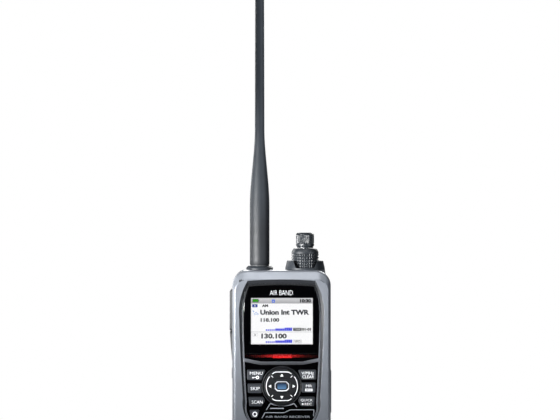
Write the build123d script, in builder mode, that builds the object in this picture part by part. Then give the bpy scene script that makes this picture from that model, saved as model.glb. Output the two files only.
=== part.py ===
from build123d import *

import math
import os

os.makedirs("parts", exist_ok=True)

# Handheld aviation receiver, in millimetres.
# X to the right and Z up as seen from the front, Y from the front to the back.
# The origin is the middle of the surface that the radio stands on.

# Case
case_width = 57.8
case_height = 143.0
case_depth = 30.8
wall = 1.8
front_wall = 2.2
top_corner_radius = 9.0
base_corner_radius = 6.0
bevel_depth = 2.8
bevel_side = 1.5
bevel_top = 5.2
bevel_corner_radius = 7.5
front_edge_radius = 0.5
outer_edge_radius = 2.4
seam_depth = 18.0
seal_thickness = 0.4
chassis_thickness = 1.8
hood_floor_z = 124.0
header_height = 2.2
chin_height = 8.6

# Front panel
panel_top_z = 135.3
panel_crown = 0.9
recess_top_z = 137.75
recess_crown = 0.75
recess_depth = 1.2
trim_width = 0.85
panel_thickness = 1.45
lens_thickness = 0.9
lens_bottom_z = 94.3
chevron_z = 89.65
chevron_height = 1.95
chevron_rise = 1.95
chevron_flat = 12.4
chevron_end = 22.0

# Display
display_x = 0.2
display_z = 113.25
display_width = 36.0
display_height = 27.5

# Keys
key_travel = 0.5
key_proud = 0.65
key_gap = 0.2
key_bevel = 0.4
pad_x = 0.2
pad_z = 75.25
pad_radius = 10.5
pad_gap = 0.25
enter_width = 9.4
enter_height = 7.0

# Top controls
antenna_x = -13.0
antenna_top_z = 348.0
antenna_base_radius = 5.85
collar_radius = 8.0
collar_height = 2.2
jack_thread_radius = 3.175
knob_x = 14.0
upper_knob_radius = 5.4
lower_knob_radius = 8.1
shroud_inner_radius = 8.6
shroud_top_z = 148.3

# Side controls
side_key_y = -5.6
side_key_depth = 11.2
side_key_proud = 1.6
cover_y = -6.2
cover_depth = 9.7
cover_bottom_z = 59.1
cover_top_z = 84.2
cover_proud = 0.35
jack_z = 78.0
usb_z = 66.5
socket_window_half_depth = 3.6

cover_boss_radius = 2.2
function_key_low = 107.5
function_key_high = 132.0
squelch_key_low = 89.5
squelch_key_high = 106.9
lamp_key_low = 79.0
lamp_key_high = 85.4
lamp_key_depth = 6.0
side_key_gap = 0.2

# Shroud round the lower knob, and the strap bar at the upper back
shroud_foot_radius = 12.3
shroud_waist_radius = 11.7
shroud_waist_z = 144.3
shroud_tip_radius = 10.75
scoop_half_width = 5.4
scoop_top_half_width = 7.6
strap_left = -24.5
strap_right = -16.5
strap_bar_z = 132.5
strap_bar_radius = 0.9
strap_pocket_half_height = 3.4

# Speaker
speaker_z = 27.0
grille_radius = 17.0
grille_slots = 7
grille_pitch = 4.4
grille_slot_width = 1.6

# Battery pack, latch and belt clip
pack_half_width = 28.7
pack_bottom_z = 9.0
pack_top_z = 122.9
pack_wall = 1.3
pack_split_y = 7.5
latch_half_width = 9.0
latch_pin_y = 13.4
latch_pin_z = 2.6
clip_pin_z = 106.0
clip_half_width = 8.0

# Places that follow from the driving dimensions
half_width = case_width / 2
front = -case_depth / 2
back = case_depth / 2
bevel_back = front + bevel_depth
inner_front = front + front_wall
case_rim = front + seam_depth
seal_back = case_rim + seal_thickness
chassis_back = seal_back + chassis_thickness
header_front = case_rim - wall
header_bottom = hood_floor_z - header_height
inner_top = case_height - wall
recess_floor = front + recess_depth
panel_front = front + 1.05
panel_back = panel_front + panel_thickness
trim_front = front + 0.85
lens_back = panel_front + lens_thickness
key_front = panel_front - key_proud
logic_front = -10.1
logic_back = -9.1
main_front = -3.6
main_back = -2.4
board_half_width = 24.0
screw_places = [(-24.7, 14.0), (24.7, 14.0), (-22.0, 119.6), (22.0, 119.6)]
screw_radius = 0.85
pack_front = chassis_back + 0.4


def facing_front(y):
    """Plane at depth y that faces the front. Its own axes are X and Z."""
    return Plane(origin=(0, y, 0), x_dir=(1, 0, 0), z_dir=(0, -1, 0))


def facing_right(x):
    """Plane at x that faces right. Its own axes are Y and Z."""
    return Plane(origin=(x, 0, 0), x_dir=(0, 1, 0), z_dir=(1, 0, 0))


def upright(x):
    """Plane for profiles that are turned about the upright line at x. Its axes are radius and Z."""
    return Plane(origin=(x, 0, 0), x_dir=(1, 0, 0), z_dir=(0, -1, 0))


def upright_axis(x):
    """Upright line at x, in the middle of the depth."""
    return Axis((x, 0, 0), (0, 0, 1))


def case_outline(inset=0.0, floor=0.0, top=case_height, top_radius=None, base_radius=None):
    """Front view of the case, with round corners, between two heights."""
    half = half_width - inset
    upper = top_corner_radius - inset if top_radius is None else top_radius
    lower = base_corner_radius - inset if base_radius is None else base_radius
    with BuildSketch() as shape:
        with BuildLine():
            FilletPolyline(
                (half, floor), (half, top), (-half, top), (-half, floor),
                radius=[lower, upper, upper, lower], close=True,
            )
        make_face()
    return shape.sketch


def panel_outline(grow=0.0):
    """Outline of the front panel: a shield, widest below its top and narrow at its foot."""
    with BuildSketch() as shape:
        with BuildLine():
            corner_z = panel_top_z - panel_crown
            ThreePointArc((-19.6, corner_z), (0, panel_top_z), (19.6, corner_z))
            shoulder = ThreePointArc((19.6, corner_z), (22.2, 126.8), (23.1, 117.0))
            side = ThreePointArc(shoulder @ 1, (22.6, 92.0), (21.2, 65.5))
            foot = ThreePointArc(side @ 1, (19.3, 55.6), (12.0, 50.2))
            mirror(shoulder, about=Plane.YZ)
            mirror(side, about=Plane.YZ)
            mirror(foot, about=Plane.YZ)
            Line((12.0, 50.2), (-12.0, 50.2))
        make_face()
        if grow:
            offset(amount=grow, kind=Kind.ARC)
    return shape.sketch


def recess_outline():
    """Outer edge of the sloped recess that frames the front panel."""
    with BuildSketch() as shape:
        with BuildLine():
            corner_z = recess_top_z - recess_crown
            ThreePointArc((-19.8, corner_z), (0, recess_top_z), (19.8, corner_z))
            shoulder = ThreePointArc((19.8, corner_z), (23.7, 128.0), (24.85, 117.0))
            side = ThreePointArc(shoulder @ 1, (24.0, 93.0), (22.6, 68.5))
            foot = ThreePointArc(side @ 1, (19.95, 55.9), (12.2, 49.7))
            mirror(shoulder, about=Plane.YZ)
            mirror(side, about=Plane.YZ)
            mirror(foot, about=Plane.YZ)
            Line((12.2, 49.7), (-12.2, 49.7))
        make_face()
    return shape.sketch


def key_outline(corners, grow=0.0, rounding=0.7):
    """Front view of a key cap from its corners, grown for its hole or its flange."""
    with BuildSketch() as shape:
        with BuildLine():
            Polyline(*corners, close=True)
        make_face()
        fillet(shape.vertices(), radius=rounding)
        if grow:
            offset(amount=grow, kind=Kind.ARC)
    return shape.sketch


def block_outline(left, right, low, high, rounding=0.0):
    """Upright rectangle between given sides, with round corners if asked."""
    middle = ((left + right) / 2, (low + high) / 2)
    with BuildSketch() as shape:
        with Locations(middle):
            Rectangle(right - left, high - low)
        if rounding:
            fillet(shape.vertices(), radius=rounding)
    return shape.sketch


key_corners = {
    "menu_key": [(-20.2, 84.8), (-9.4, 84.8), (-11.5, 78.9), (-20.2, 78.9)],
    "skip_key": [(-19.8, 76.7), (-11.7, 76.7), (-11.5, 71.2), (-19.6, 71.2)],
    "scan_key": [(-19.3, 68.9), (-11.0, 68.9), (-9.7, 66.8), (-11.6, 63.5), (-18.9, 63.5)],
    "power_key": [(-18.8, 61.3), (-12.8, 61.3), (-14.3, 56.9), (-17.7, 56.9)],
    "clear_key": [(9.6, 84.8), (20.3, 84.8), (20.3, 79.2), (11.7, 79.2)],
    "memory_key": [(11.8, 77.2), (20.1, 77.2), (19.9, 71.5), (11.9, 71.5)],
    "record_key": [(10.7, 68.9), (19.7, 68.9), (19.0, 63.6), (11.4, 63.6), (9.7, 66.8)],
}
enter_cut = 1.7
enter_corners = [
    (pad_x + right * (enter_width / 2 - (0 if side else enter_cut)),
     pad_z + up * (enter_height / 2 - (enter_cut if side else 0)))
    for right, up, side in [
        (1, 1, False), (1, 1, True), (1, -1, True), (1, -1, False),
        (-1, -1, False), (-1, -1, True), (-1, 1, True), (-1, 1, False),
    ]
]

panel_edge = panel_outline()
panel_hole = panel_outline(0.1)
panel_inside = panel_outline(-trim_width)
panel_plate = panel_outline(-trim_width - 0.05)
panel_flange = panel_outline(0.8)
flange_inside = panel_outline(-0.3)

# Front case: one moulding with the front, the sides, the top and the hood at the upper back
knob_scoop_z = 144.2
shroud_root_z = 139.0
boss_radius = 2.5
boss_height = 4.8
boss_hole_depth = 4.2

with BuildPart() as front_case:
    with BuildSketch(facing_front(case_rim)):
        add(case_outline())
    extrude(amount=case_rim - bevel_back)
    with BuildSketch(facing_front(bevel_back)):
        add(case_outline())
    with BuildSketch(facing_front(front)):
        add(case_outline(
            bevel_side, bevel_side, case_height - bevel_top,
            bevel_corner_radius, base_corner_radius - bevel_side,
        ))
    loft(ruled=True)
    fillet(front_case.edges().group_by(Axis.Y)[0], radius=front_edge_radius)
    outer_edges = front_case.edges().filter_by(lambda edge: abs(edge.center().Y - bevel_back) < 0.01)
    fillet(outer_edges, radius=outer_edge_radius)
    with BuildSketch(facing_front(back)):
        add(case_outline(floor=hood_floor_z, base_radius=0.4))
    extrude(amount=back - case_rim)
    rear_edges = front_case.edges().group_by(Axis.Y)[-1]
    hood_edges = rear_edges.filter_by(lambda edge: edge.center().Z > hood_floor_z + 2)
    fillet(hood_edges, radius=1.8)
    # Shroud round the lower knob, with two ears
    with BuildSketch(upright(knob_x)):
        with BuildLine():
            Polyline(
                (shroud_inner_radius, shroud_root_z), (shroud_foot_radius, shroud_root_z),
                (shroud_waist_radius, shroud_waist_z), (shroud_tip_radius, shroud_top_z),
                (shroud_inner_radius, shroud_top_z), close=True,
            )
        make_face()
    revolve(axis=upright_axis(knob_x))
    with BuildSketch(facing_front(back)):
        with BuildLine():
            Polyline(
                (knob_x - scoop_half_width, knob_scoop_z), (knob_x + scoop_half_width, knob_scoop_z),
                (knob_x + scoop_top_half_width, shroud_top_z + 1),
                (knob_x - scoop_top_half_width, shroud_top_z + 1), close=True,
            )
        make_face()
    extrude(amount=case_depth, mode=Mode.SUBTRACT)
    # Inside
    with BuildSketch(facing_front(header_front)):
        add(case_outline(wall, wall, inner_top))
    extrude(amount=header_front - (inner_front + wall), mode=Mode.SUBTRACT)
    with BuildSketch(facing_front(inner_front + wall)):
        add(case_outline(wall, wall, inner_top - 2.2))
    extrude(amount=wall, mode=Mode.SUBTRACT)
    with BuildSketch(facing_front(case_rim)):
        add(case_outline(wall, wall, header_bottom, 1.0))
    extrude(amount=wall, mode=Mode.SUBTRACT)
    with BuildSketch(facing_front(back - wall)):
        add(case_outline(wall, hood_floor_z + wall, inner_top, base_radius=1.0))
    extrude(amount=back - wall - header_front, mode=Mode.SUBTRACT)
    # Sloped recess and opening for the front panel
    with BuildSketch(facing_front(front)):
        add(recess_outline())
    with BuildSketch(facing_front(recess_floor)):
        add(panel_edge)
    loft(ruled=True, mode=Mode.SUBTRACT)
    with BuildSketch(facing_front(inner_front + 0.1)):
        add(panel_hole)
    extrude(amount=front_wall, mode=Mode.SUBTRACT)
    # Speaker grille: slots that fill a circle
    with BuildSketch(facing_front(inner_front + 0.1)):
        for index in range(grille_slots):
            rise = (index - (grille_slots - 1) / 2) * grille_pitch
            slot_length = 2 * math.sqrt(grille_radius ** 2 - rise ** 2)
            with Locations((0, speaker_z + rise)):
                SlotOverall(slot_length, grille_slot_width)
    extrude(amount=front_wall + 0.2, mode=Mode.SUBTRACT)
    # Bosses for the case screws
    with BuildSketch(facing_front(case_rim)):
        with Locations(*screw_places):
            Circle(boss_radius)
    extrude(amount=boss_height)
    with BuildSketch(facing_front(case_rim)):
        with Locations(*screw_places):
            Circle(screw_radius + 0.01)
    extrude(amount=boss_hole_depth, mode=Mode.SUBTRACT)
    # Holes in the top
    with BuildSketch(Plane.XY.offset(inner_top - 0.2)):
        with Locations((antenna_x, 0)):
            Circle(jack_thread_radius + 0.2)
        with Locations((knob_x, 0)):
            Circle(3.6)
    extrude(amount=wall + 0.4, mode=Mode.SUBTRACT)
    # Windows for the keys on the left side
    with BuildSketch(facing_right(-half_width - 1)):
        half_window = side_key_depth / 2 + side_key_gap
        add(block_outline(side_key_y - half_window, side_key_y + half_window,
                          squelch_key_low - side_key_gap, function_key_high + side_key_gap, 2.2))
        half_window = lamp_key_depth / 2 + side_key_gap
        add(block_outline(side_key_y - half_window, side_key_y + half_window,
                          lamp_key_low - side_key_gap, lamp_key_high + side_key_gap, 1.4))
    extrude(amount=wall + 1.2, mode=Mode.SUBTRACT)
    # Recess for the jack cover on the right side, with the window behind it for both sockets
    with BuildSketch(facing_right(half_width - 1.0)):
        add(block_outline(cover_y - cover_depth / 2 - 0.15, cover_y + cover_depth / 2 + 0.15,
                          cover_bottom_z - 0.15, cover_top_z + 0.15, 0.4))
    extrude(amount=2.0, mode=Mode.SUBTRACT)
    with BuildSketch(facing_right(half_width - wall - 0.2)):
        add(block_outline(cover_y - socket_window_half_depth, cover_y + socket_window_half_depth,
                          usb_z - 4.3, jack_z + 3.4, 0.8))
    extrude(amount=wall, mode=Mode.SUBTRACT)
    # Pocket at the upper back for the strap bar
    with BuildSketch(facing_front(back - wall)):
        add(block_outline(strap_left - 1.5, strap_right + 1.5, strap_bar_z - strap_pocket_half_height - 1.5,
                          strap_bar_z + strap_pocket_half_height + 1.5))
    extrude(amount=4.0)
    with BuildSketch(facing_front(back)):
        add(block_outline(strap_left, strap_right, strap_bar_z - strap_pocket_half_height,
                          strap_bar_z + strap_pocket_half_height, 1.5))
    extrude(amount=4.4, mode=Mode.SUBTRACT)
    with BuildSketch(facing_right(strap_left - 1.1)):
        with Locations((back - 1.6, strap_bar_z)):
            Circle(strap_bar_radius + 0.01)
    extrude(amount=strap_right - strap_left + 2.2, mode=Mode.SUBTRACT)
    # Pockets in the floor of the hood for the tabs of the battery pack
    with BuildSketch(Plane.XY.offset(hood_floor_z - 0.5)):
        with Locations((-15.0, 6.6), (15.0, 6.6)):
            Rectangle(7.0, 3.4)
    extrude(amount=wall + 1.0, mode=Mode.SUBTRACT)

# Rear chassis: a cast plate behind the boards, with a chin under the battery pack
with BuildPart() as rear_chassis:
    with BuildSketch(facing_front(chassis_back)):
        add(case_outline(top=hood_floor_z - 0.2, top_radius=0.5))
    extrude(amount=chassis_thickness)
    with BuildSketch(facing_front(back)):
        add(case_outline(top=chin_height, top_radius=0.5))
    extrude(amount=back - chassis_back)
    rear_edges = rear_chassis.edges().group_by(Axis.Y)[-1]
    chin_edges = rear_edges.filter_by(lambda edge: edge.center().Z < chin_height - 0.2)
    fillet(chin_edges, radius=1.2)
    # Rim that fits inside the case
    with BuildSketch(facing_front(seal_back)):
        add(case_outline(wall + 0.15, wall + 0.15, header_bottom - 0.15, 1.0))
        add(case_outline(wall + 1.4, wall + 1.4, header_bottom - 1.4, 0.8), mode=Mode.SUBTRACT)
        with Locations(*screw_places):
            Circle(2.8, mode=Mode.SUBTRACT)
    extrude(amount=1.9)
    # Ribs on the inside
    with BuildSketch(facing_front(seal_back)):
        with Locations((0, 34.0), (0, 62.0), (0, 90.0)):
            Rectangle(50.0, 1.2)
    extrude(amount=1.4)
    # Latch pocket in the chin, and the holes of its pin
    with BuildSketch(facing_front(back + 1)):
        add(block_outline(-latch_half_width - 0.3, latch_half_width + 0.3, 0.5, chin_height + 1))
    extrude(amount=8.0, mode=Mode.SUBTRACT)
    with BuildSketch(facing_right(-latch_half_width - 3.5)):
        with Locations((latch_pin_y, latch_pin_z)):
            Circle(0.76)
    extrude(amount=2 * latch_half_width + 7.0, mode=Mode.SUBTRACT)
    # Countersunk screw holes
    with Locations(Plane(origin=(0, chassis_back, 0), x_dir=(-1, 0, 0), z_dir=(0, 1, 0))):
        with Locations(*[(-x, z) for x, z in screw_places]):
            CounterSinkHole(radius=1.1, counter_sink_radius=2.0, depth=4.0, counter_sink_angle=90)
    # Slots for the battery terminals
    with BuildSketch(facing_front(chassis_back + 0.2)):
        with Locations((-6, 17.5), (0, 17.5), (6, 17.5)):
            Rectangle(2.4, 5.0)
    extrude(amount=chassis_thickness + 0.4, mode=Mode.SUBTRACT)

with BuildPart() as case_seal:
    with BuildSketch(facing_front(seal_back)):
        add(case_outline(0.6, 0.6, hood_floor_z - 0.6, 0.5))
        add(case_outline(1.6, 1.6, hood_floor_z - 1.6, 0.4), mode=Mode.SUBTRACT)
    extrude(amount=seal_thickness)

# Screws that hold the chassis to the case, a group of four
with BuildPart() as case_screws:
    with BuildSketch(facing_front(chassis_back)):
        with Locations(*screw_places):
            Circle(1.95)
    extrude(amount=1.1, taper=45)
    with BuildSketch(facing_front(chassis_back - 1.0)):
        with Locations(*screw_places):
            Circle(screw_radius)
    extrude(amount=4.2)
    with BuildSketch(facing_front(chassis_back + 0.1)):
        for place in screw_places:
            with Locations(place):
                Rectangle(2.4, 0.45)
                Rectangle(0.45, 2.4)
    extrude(amount=0.7, mode=Mode.SUBTRACT)

# Trim: a thin frame round the panel and the chevron bar across it, one moulding
with BuildPart() as panel_trim:
    with BuildSketch(facing_front(panel_back - 0.3)):
        add(panel_edge)
        add(panel_inside, mode=Mode.SUBTRACT)
    extrude(amount=panel_back - 0.3 - trim_front)
    with BuildSketch(facing_front(panel_front)):
        with BuildLine():
            Polyline(
                (-chevron_end, chevron_z + chevron_rise), (-chevron_flat, chevron_z),
                (chevron_flat, chevron_z), (chevron_end, chevron_z + chevron_rise),
                (chevron_end, chevron_z + chevron_rise - chevron_height),
                (chevron_flat, chevron_z - chevron_height), (-chevron_flat, chevron_z - chevron_height),
                (-chevron_end, chevron_z + chevron_rise - chevron_height), close=True,
            )
        make_face()
    extrude(amount=0.4)

# Front panel: glossy plate with the holes of the keys and the seat of the lens
with BuildPart() as front_panel:
    with BuildSketch(facing_front(panel_back)):
        add(panel_plate)
    extrude(amount=panel_thickness)
    with BuildSketch(facing_front(panel_back + 0.6)):
        add(panel_flange)
        add(flange_inside, mode=Mode.SUBTRACT)
    extrude(amount=0.6)
    with BuildSketch(facing_front(panel_back)):
        add(panel_flange)
        add(panel_outline(-2.5), mode=Mode.SUBTRACT)
    extrude(amount=0.3)
    with BuildSketch(facing_front(lens_back + 0.05)):
        add(panel_outline(-trim_width - 0.05))
        add(block_outline(-30, 30, 30, lens_bottom_z), mode=Mode.SUBTRACT)
    extrude(amount=lens_thickness + 0.2, mode=Mode.SUBTRACT)
    with BuildSketch(facing_front(panel_back)):
        add(block_outline(display_x - display_width / 2 - 0.3, display_x + display_width / 2 + 0.3,
                          display_z - display_height / 2 - 0.3, display_z + display_height / 2 + 0.3, 0.5))
    extrude(amount=panel_thickness, mode=Mode.SUBTRACT)
    with BuildSketch(facing_front(panel_back + 0.1)):
        for corners in key_corners.values():
            add(key_outline(corners, key_gap))
        with Locations((pad_x, pad_z)):
            Circle(pad_radius + pad_gap)
    extrude(amount=panel_thickness + 0.3, mode=Mode.SUBTRACT)

with BuildPart() as display_lens:
    with BuildSketch(facing_front(lens_back)):
        add(panel_outline(-trim_width - 0.1))
        add(block_outline(-30, 30, 30, lens_bottom_z + 0.05), mode=Mode.SUBTRACT)
    extrude(amount=lens_thickness)

# Display: the cell in its holder, which stands on the logic board
module_half_width = 19.9
module_half_height = 15.7
with BuildPart() as display_module:
    with BuildSketch(facing_front(-11.2)):
        add(block_outline(display_x - module_half_width, display_x + module_half_width,
                          display_z - module_half_height, display_z + module_half_height, 0.4))
    extrude(amount=1.55)
    chamfer(display_module.edges().group_by(Axis.Y)[0], length=0.2)

with BuildPart() as display_frame:
    with BuildSketch(facing_front(logic_front)):
        add(block_outline(display_x - 20.8, display_x + 20.8, display_z - 16.8, display_z + 16.8, 1.2))
    extrude(amount=2.7)
    with BuildSketch(facing_front(-11.2)):
        add(block_outline(display_x - module_half_width - 0.1, display_x + module_half_width + 0.1,
                          display_z - module_half_height - 0.1, display_z + module_half_height + 0.1, 0.5))
    extrude(amount=2.0, mode=Mode.SUBTRACT)

# Rubber mat under the keys, open where the key stems and the rocker pass
stem_places = {
    "menu_key": (-15.6, 81.9),
    "skip_key": (-15.7, 74.0),
    "scan_key": (-14.6, 66.3),
    "power_key": (-15.8, 59.3),
    "clear_key": (15.8, 82.0),
    "memory_key": (15.9, 74.4),
    "record_key": (14.6, 66.3),
}
stem_radius = 1.3
mat_front = -11.65
dome_front = -10.35
stem_back = dome_front - key_travel - 0.05
with BuildPart() as keypad_mat:
    with BuildSketch(facing_front(mat_front + 0.5)):
        add(block_outline(-20.4, 20.4, 53.0, 92.5, 3.0))
    extrude(amount=0.5)
    with BuildSketch(facing_front(logic_front)):
        add(block_outline(-20.4, 20.4, 53.0, 92.5, 3.0))
        add(block_outline(-19.4, 19.4, 54.0, 91.5, 2.0), mode=Mode.SUBTRACT)
    extrude(amount=logic_front - mat_front - 0.5)
    with BuildSketch(facing_front(mat_front + 0.6)):
        with Locations(*stem_places.values()):
            Circle(stem_radius + 0.35)
        with Locations((pad_x, pad_z)):
            Circle(pad_radius + 1.1)
    extrude(amount=0.8, mode=Mode.SUBTRACT)

# Boards
with BuildPart() as logic_board:
    with BuildSketch(facing_front(logic_back)):
        add(block_outline(-board_half_width, board_half_width, 48.0, 131.0, 1.5))
    extrude(amount=logic_back - logic_front)

dome_places = list(stem_places.values()) + [
    (pad_x, pad_z), (pad_x + 8, pad_z), (pad_x - 8, pad_z), (pad_x, pad_z + 8), (pad_x, pad_z - 8),
]
with BuildPart() as key_domes:
    with BuildSketch(facing_front(logic_front)):
        with Locations(*dome_places):
            Circle(1.9)
    extrude(amount=logic_front - dome_front, taper=30)

with BuildPart() as main_board:
    with BuildSketch(facing_front(main_back)):
        add(block_outline(-board_half_width, board_half_width, 20.0, 121.0, 1.5))
    extrude(amount=main_back - main_front)
    with BuildSketch(facing_front(main_front)):
        add(block_outline(-20.0, -8.0, 48.0, 60.0, 0.3))
        add(block_outline(6.0, 12.0, 40.0, 46.0, 0.3))
        add(block_outline(-4.0, 6.0, 100.0, 108.0, 0.3), mode=Mode.ADD)
    extrude(amount=1.1)

can_height = 3.0
with BuildPart() as shield_cans:
    with BuildSketch(facing_front(main_front)):
        add(block_outline(-22.0, -5.0, 84.0, 117.0, 1.0))
        add(block_outline(7.0, 22.0, 84.0, 117.0, 1.0))
    extrude(amount=can_height)
    with BuildSketch(facing_front(main_front)):
        add(block_outline(-21.7, -5.3, 84.3, 116.7, 0.7))
        add(block_outline(7.3, 21.7, 84.3, 116.7, 0.7))
    extrude(amount=can_height - 0.3, mode=Mode.SUBTRACT)

# Flat cable: a loop between the two boards
with BuildPart() as flex_cable:
    with BuildSketch(facing_right(-7.0)):
        with BuildLine():
            FilletPolyline((logic_back + 0.13, 74.0), (logic_back + 0.13, 64.0), (main_front - 0.13, 64.0),
                           (main_front - 0.13, 74.0), radius=2.4)
        trace(line_width=0.24)
    extrude(amount=14.0)

# Speaker and the cloth in front of it
with BuildPart() as speaker:
    with BuildSketch(Plane(origin=(0, 0, speaker_z), x_dir=(1, 0, 0), z_dir=(0, 0, 1))):
        with BuildLine():
            Polyline(
                (0, -12.0), (6.0, -12.2), (14.5, -11.2), (14.9, -12.7), (17.4, -12.7), (17.4, -11.2),
                (15.0, -10.0), (11.0, -8.6), (11.0, -6.4), (0, -6.4), close=True,
            )
        make_face()
    revolve(axis=Axis((0, 0, speaker_z), (0, 1, 0)))

with BuildPart() as speaker_mesh:
    with BuildSketch(facing_front(-12.75)):
        with Locations((0, speaker_z)):
            Circle(18.6)
    extrude(amount=-12.75 - inner_front)

# Antenna jack, its nut and the collar on the top
collar_top_z = case_height + collar_height
with BuildPart() as antenna_jack:
    with BuildSketch(Plane.XY.offset(135.5)):
        with Locations((antenna_x, 0)):
            Circle(jack_thread_radius)
    extrude(amount=15.0)
    with BuildSketch(Plane.XY.offset(inner_top - 2.0)):
        with Locations((antenna_x, 0)):
            RegularPolygon(radius=5.2, side_count=6)
    extrude(amount=2.0)
    with BuildSketch(Plane.XY.offset(133.0)):
        with Locations((antenna_x, 0)):
            Circle(0.6)
    extrude(amount=3.0)
    with BuildSketch(Plane.XY.offset(145.0)):
        with Locations((antenna_x, 0)):
            Circle(0.53)
    extrude(amount=6.0, mode=Mode.SUBTRACT)
    with BuildSketch(Plane.XY.offset(148.5)):
        with Locations((antenna_x, 0)):
            Circle(2.2)
    extrude(amount=3.0, mode=Mode.SUBTRACT)

with BuildPart() as antenna_collar:
    with BuildSketch(upright(antenna_x)):
        with BuildLine():
            Polyline(
                (jack_thread_radius + 0.02, case_height), (collar_radius, case_height),
                (collar_radius, case_height + 1.0), (collar_radius - 1.1, collar_top_z),
                (jack_thread_radius + 0.02, collar_top_z), close=True,
            )
        make_face()
    revolve(axis=upright_axis(antenna_x))

gasket_height = 0.5
antenna_bottom_z = collar_top_z + gasket_height
with BuildPart() as antenna_gasket:
    with BuildSketch(Plane.XY.offset(collar_top_z)):
        with Locations((antenna_x, 0)):
            Circle(5.5)
            Circle(jack_thread_radius + 0.25, mode=Mode.SUBTRACT)
    extrude(amount=gasket_height)

# Antenna: moulded sleeve over a threaded bush and a wound core
plug_radius = 4.5
plug_top_z = 158.0
core_radius = 1.4
core_top_z = 342.0
tip_radius = 2.6
thin_radius = 2.85
taper_top_z = 226.0
taper_bottom_z = 180.0
with BuildPart() as antenna_sleeve:
    with BuildSketch(upright(antenna_x)):
        with BuildLine():
            Line((0, plug_top_z), (0, antenna_top_z))
            ThreePointArc((0, antenna_top_z), (1.85, antenna_top_z - 0.75),
                          (tip_radius, antenna_top_z - tip_radius))
            Line((tip_radius, antenna_top_z - tip_radius), (thin_radius, taper_top_z))
            Spline((thin_radius, taper_top_z), (3.55, 213.5), (4.57, 201.8), (5.45, 190.1),
                   (antenna_base_radius, taper_bottom_z), tangents=[(0.0, -1.0), (0.0, -1.0)])
            Line((antenna_base_radius, taper_bottom_z), (antenna_base_radius, antenna_bottom_z + 0.5))
            Line((antenna_base_radius, antenna_bottom_z + 0.5), (antenna_base_radius - 0.5, antenna_bottom_z))
            Line((antenna_base_radius - 0.5, antenna_bottom_z), (plug_radius, antenna_bottom_z))
            Line((plug_radius, antenna_bottom_z), (plug_radius, plug_top_z))
            Line((plug_radius, plug_top_z), (0, plug_top_z))
        make_face()
    revolve(axis=upright_axis(antenna_x))
    with BuildSketch(Plane.XY.offset(plug_top_z)):
        with Locations((antenna_x, 0)):
            Circle(core_radius)
    extrude(amount=core_top_z - plug_top_z, mode=Mode.SUBTRACT)

with BuildPart() as antenna_plug:
    with BuildSketch(Plane.XY.offset(antenna_bottom_z)):
        with Locations((antenna_x, 0)):
            Circle(plug_radius)
    extrude(amount=plug_top_z - antenna_bottom_z)
    with BuildSketch(Plane.XY.offset(antenna_bottom_z)):
        with Locations((antenna_x, 0)):
            Circle(jack_thread_radius + 0.06)
    extrude(amount=152.0 - antenna_bottom_z, mode=Mode.SUBTRACT)
    with BuildSketch(Plane.XY.offset(146.4)):
        with Locations((antenna_x, 0)):
            Circle(0.46)
    extrude(amount=6.0)

with BuildPart() as antenna_core:
    with BuildSketch(Plane.XY.offset(plug_top_z)):
        with Locations((antenna_x, 0)):
            Circle(core_radius)
    extrude(amount=core_top_z - plug_top_z)

# Two rotary encoders on one bushing, with two shafts, one inside the other
bushing_bore = 3.0
outer_shaft_bore = 1.8
with BuildPart() as encoder_housing:
    with BuildSketch(Plane.XY.offset(131.5)):
        with Locations((knob_x, 0)):
            Rectangle(13.0, 13.0)
    extrude(amount=inner_top - 131.6)
    with BuildSketch(Plane.XY.offset(inner_top - 0.1)):
        with Locations((knob_x, 0)):
            Circle(3.5)
    extrude(amount=6.7)
    with BuildSketch(Plane.XY.offset(137.8)):
        with Locations((knob_x, 0)):
            Circle(bushing_bore)
    extrude(amount=12.0, mode=Mode.SUBTRACT)
    with BuildSketch(Plane.XY.offset(135.8)):
        with Locations((knob_x, 0)):
            Circle(outer_shaft_bore)
    extrude(amount=3.0, mode=Mode.SUBTRACT)

with BuildPart() as encoder_nut:
    with BuildSketch(Plane.XY.offset(case_height)):
        with Locations((knob_x, 0)):
            RegularPolygon(radius=5.6, side_count=6)
            Circle(3.52, mode=Mode.SUBTRACT)
    extrude(amount=2.0)

outer_shaft_radius = bushing_bore - 0.06
with BuildPart() as outer_shaft:
    with BuildSketch(Plane.XY.offset(138.0)):
        with Locations((knob_x, 0)):
            Circle(outer_shaft_radius)
            Circle(outer_shaft_bore, mode=Mode.SUBTRACT)
    extrude(amount=16.5)

inner_shaft_radius = outer_shaft_bore - 0.06
with BuildPart() as inner_shaft:
    with BuildSketch(Plane.XY.offset(136.0)):
        with Locations((knob_x, 0)):
            Circle(inner_shaft_radius)
    extrude(amount=26.0)

with BuildPart() as lower_knob:
    with BuildSketch(upright(knob_x)):
        with BuildLine():
            Polyline(
                (outer_shaft_radius + 0.02, 149.0), (outer_shaft_radius + 0.02, 155.6), (6.7, 155.6),
                (7.1, 155.2),
                (7.85, 153.8), (lower_knob_radius, 152.6), (lower_knob_radius, 144.0),
                (lower_knob_radius - 0.5, 143.5), (6.5, 143.5), (6.5, 149.0), close=True,
            )
        make_face()
    revolve(axis=upright_axis(knob_x))

with BuildPart() as upper_knob:
    with BuildSketch(upright(knob_x)):
        with BuildLine():
            Polyline(
                (inner_shaft_radius + 0.02, 155.9), (4.85, 155.9), (4.85, 156.6), (upper_knob_radius, 157.3),
                (upper_knob_radius, 164.1), (upper_knob_radius - 0.8, 164.9), (0, 164.9), (0, 162.4),
                (inner_shaft_radius + 0.02, 162.4), close=True,
            )
        make_face()
    revolve(axis=upright_axis(knob_x))


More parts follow.
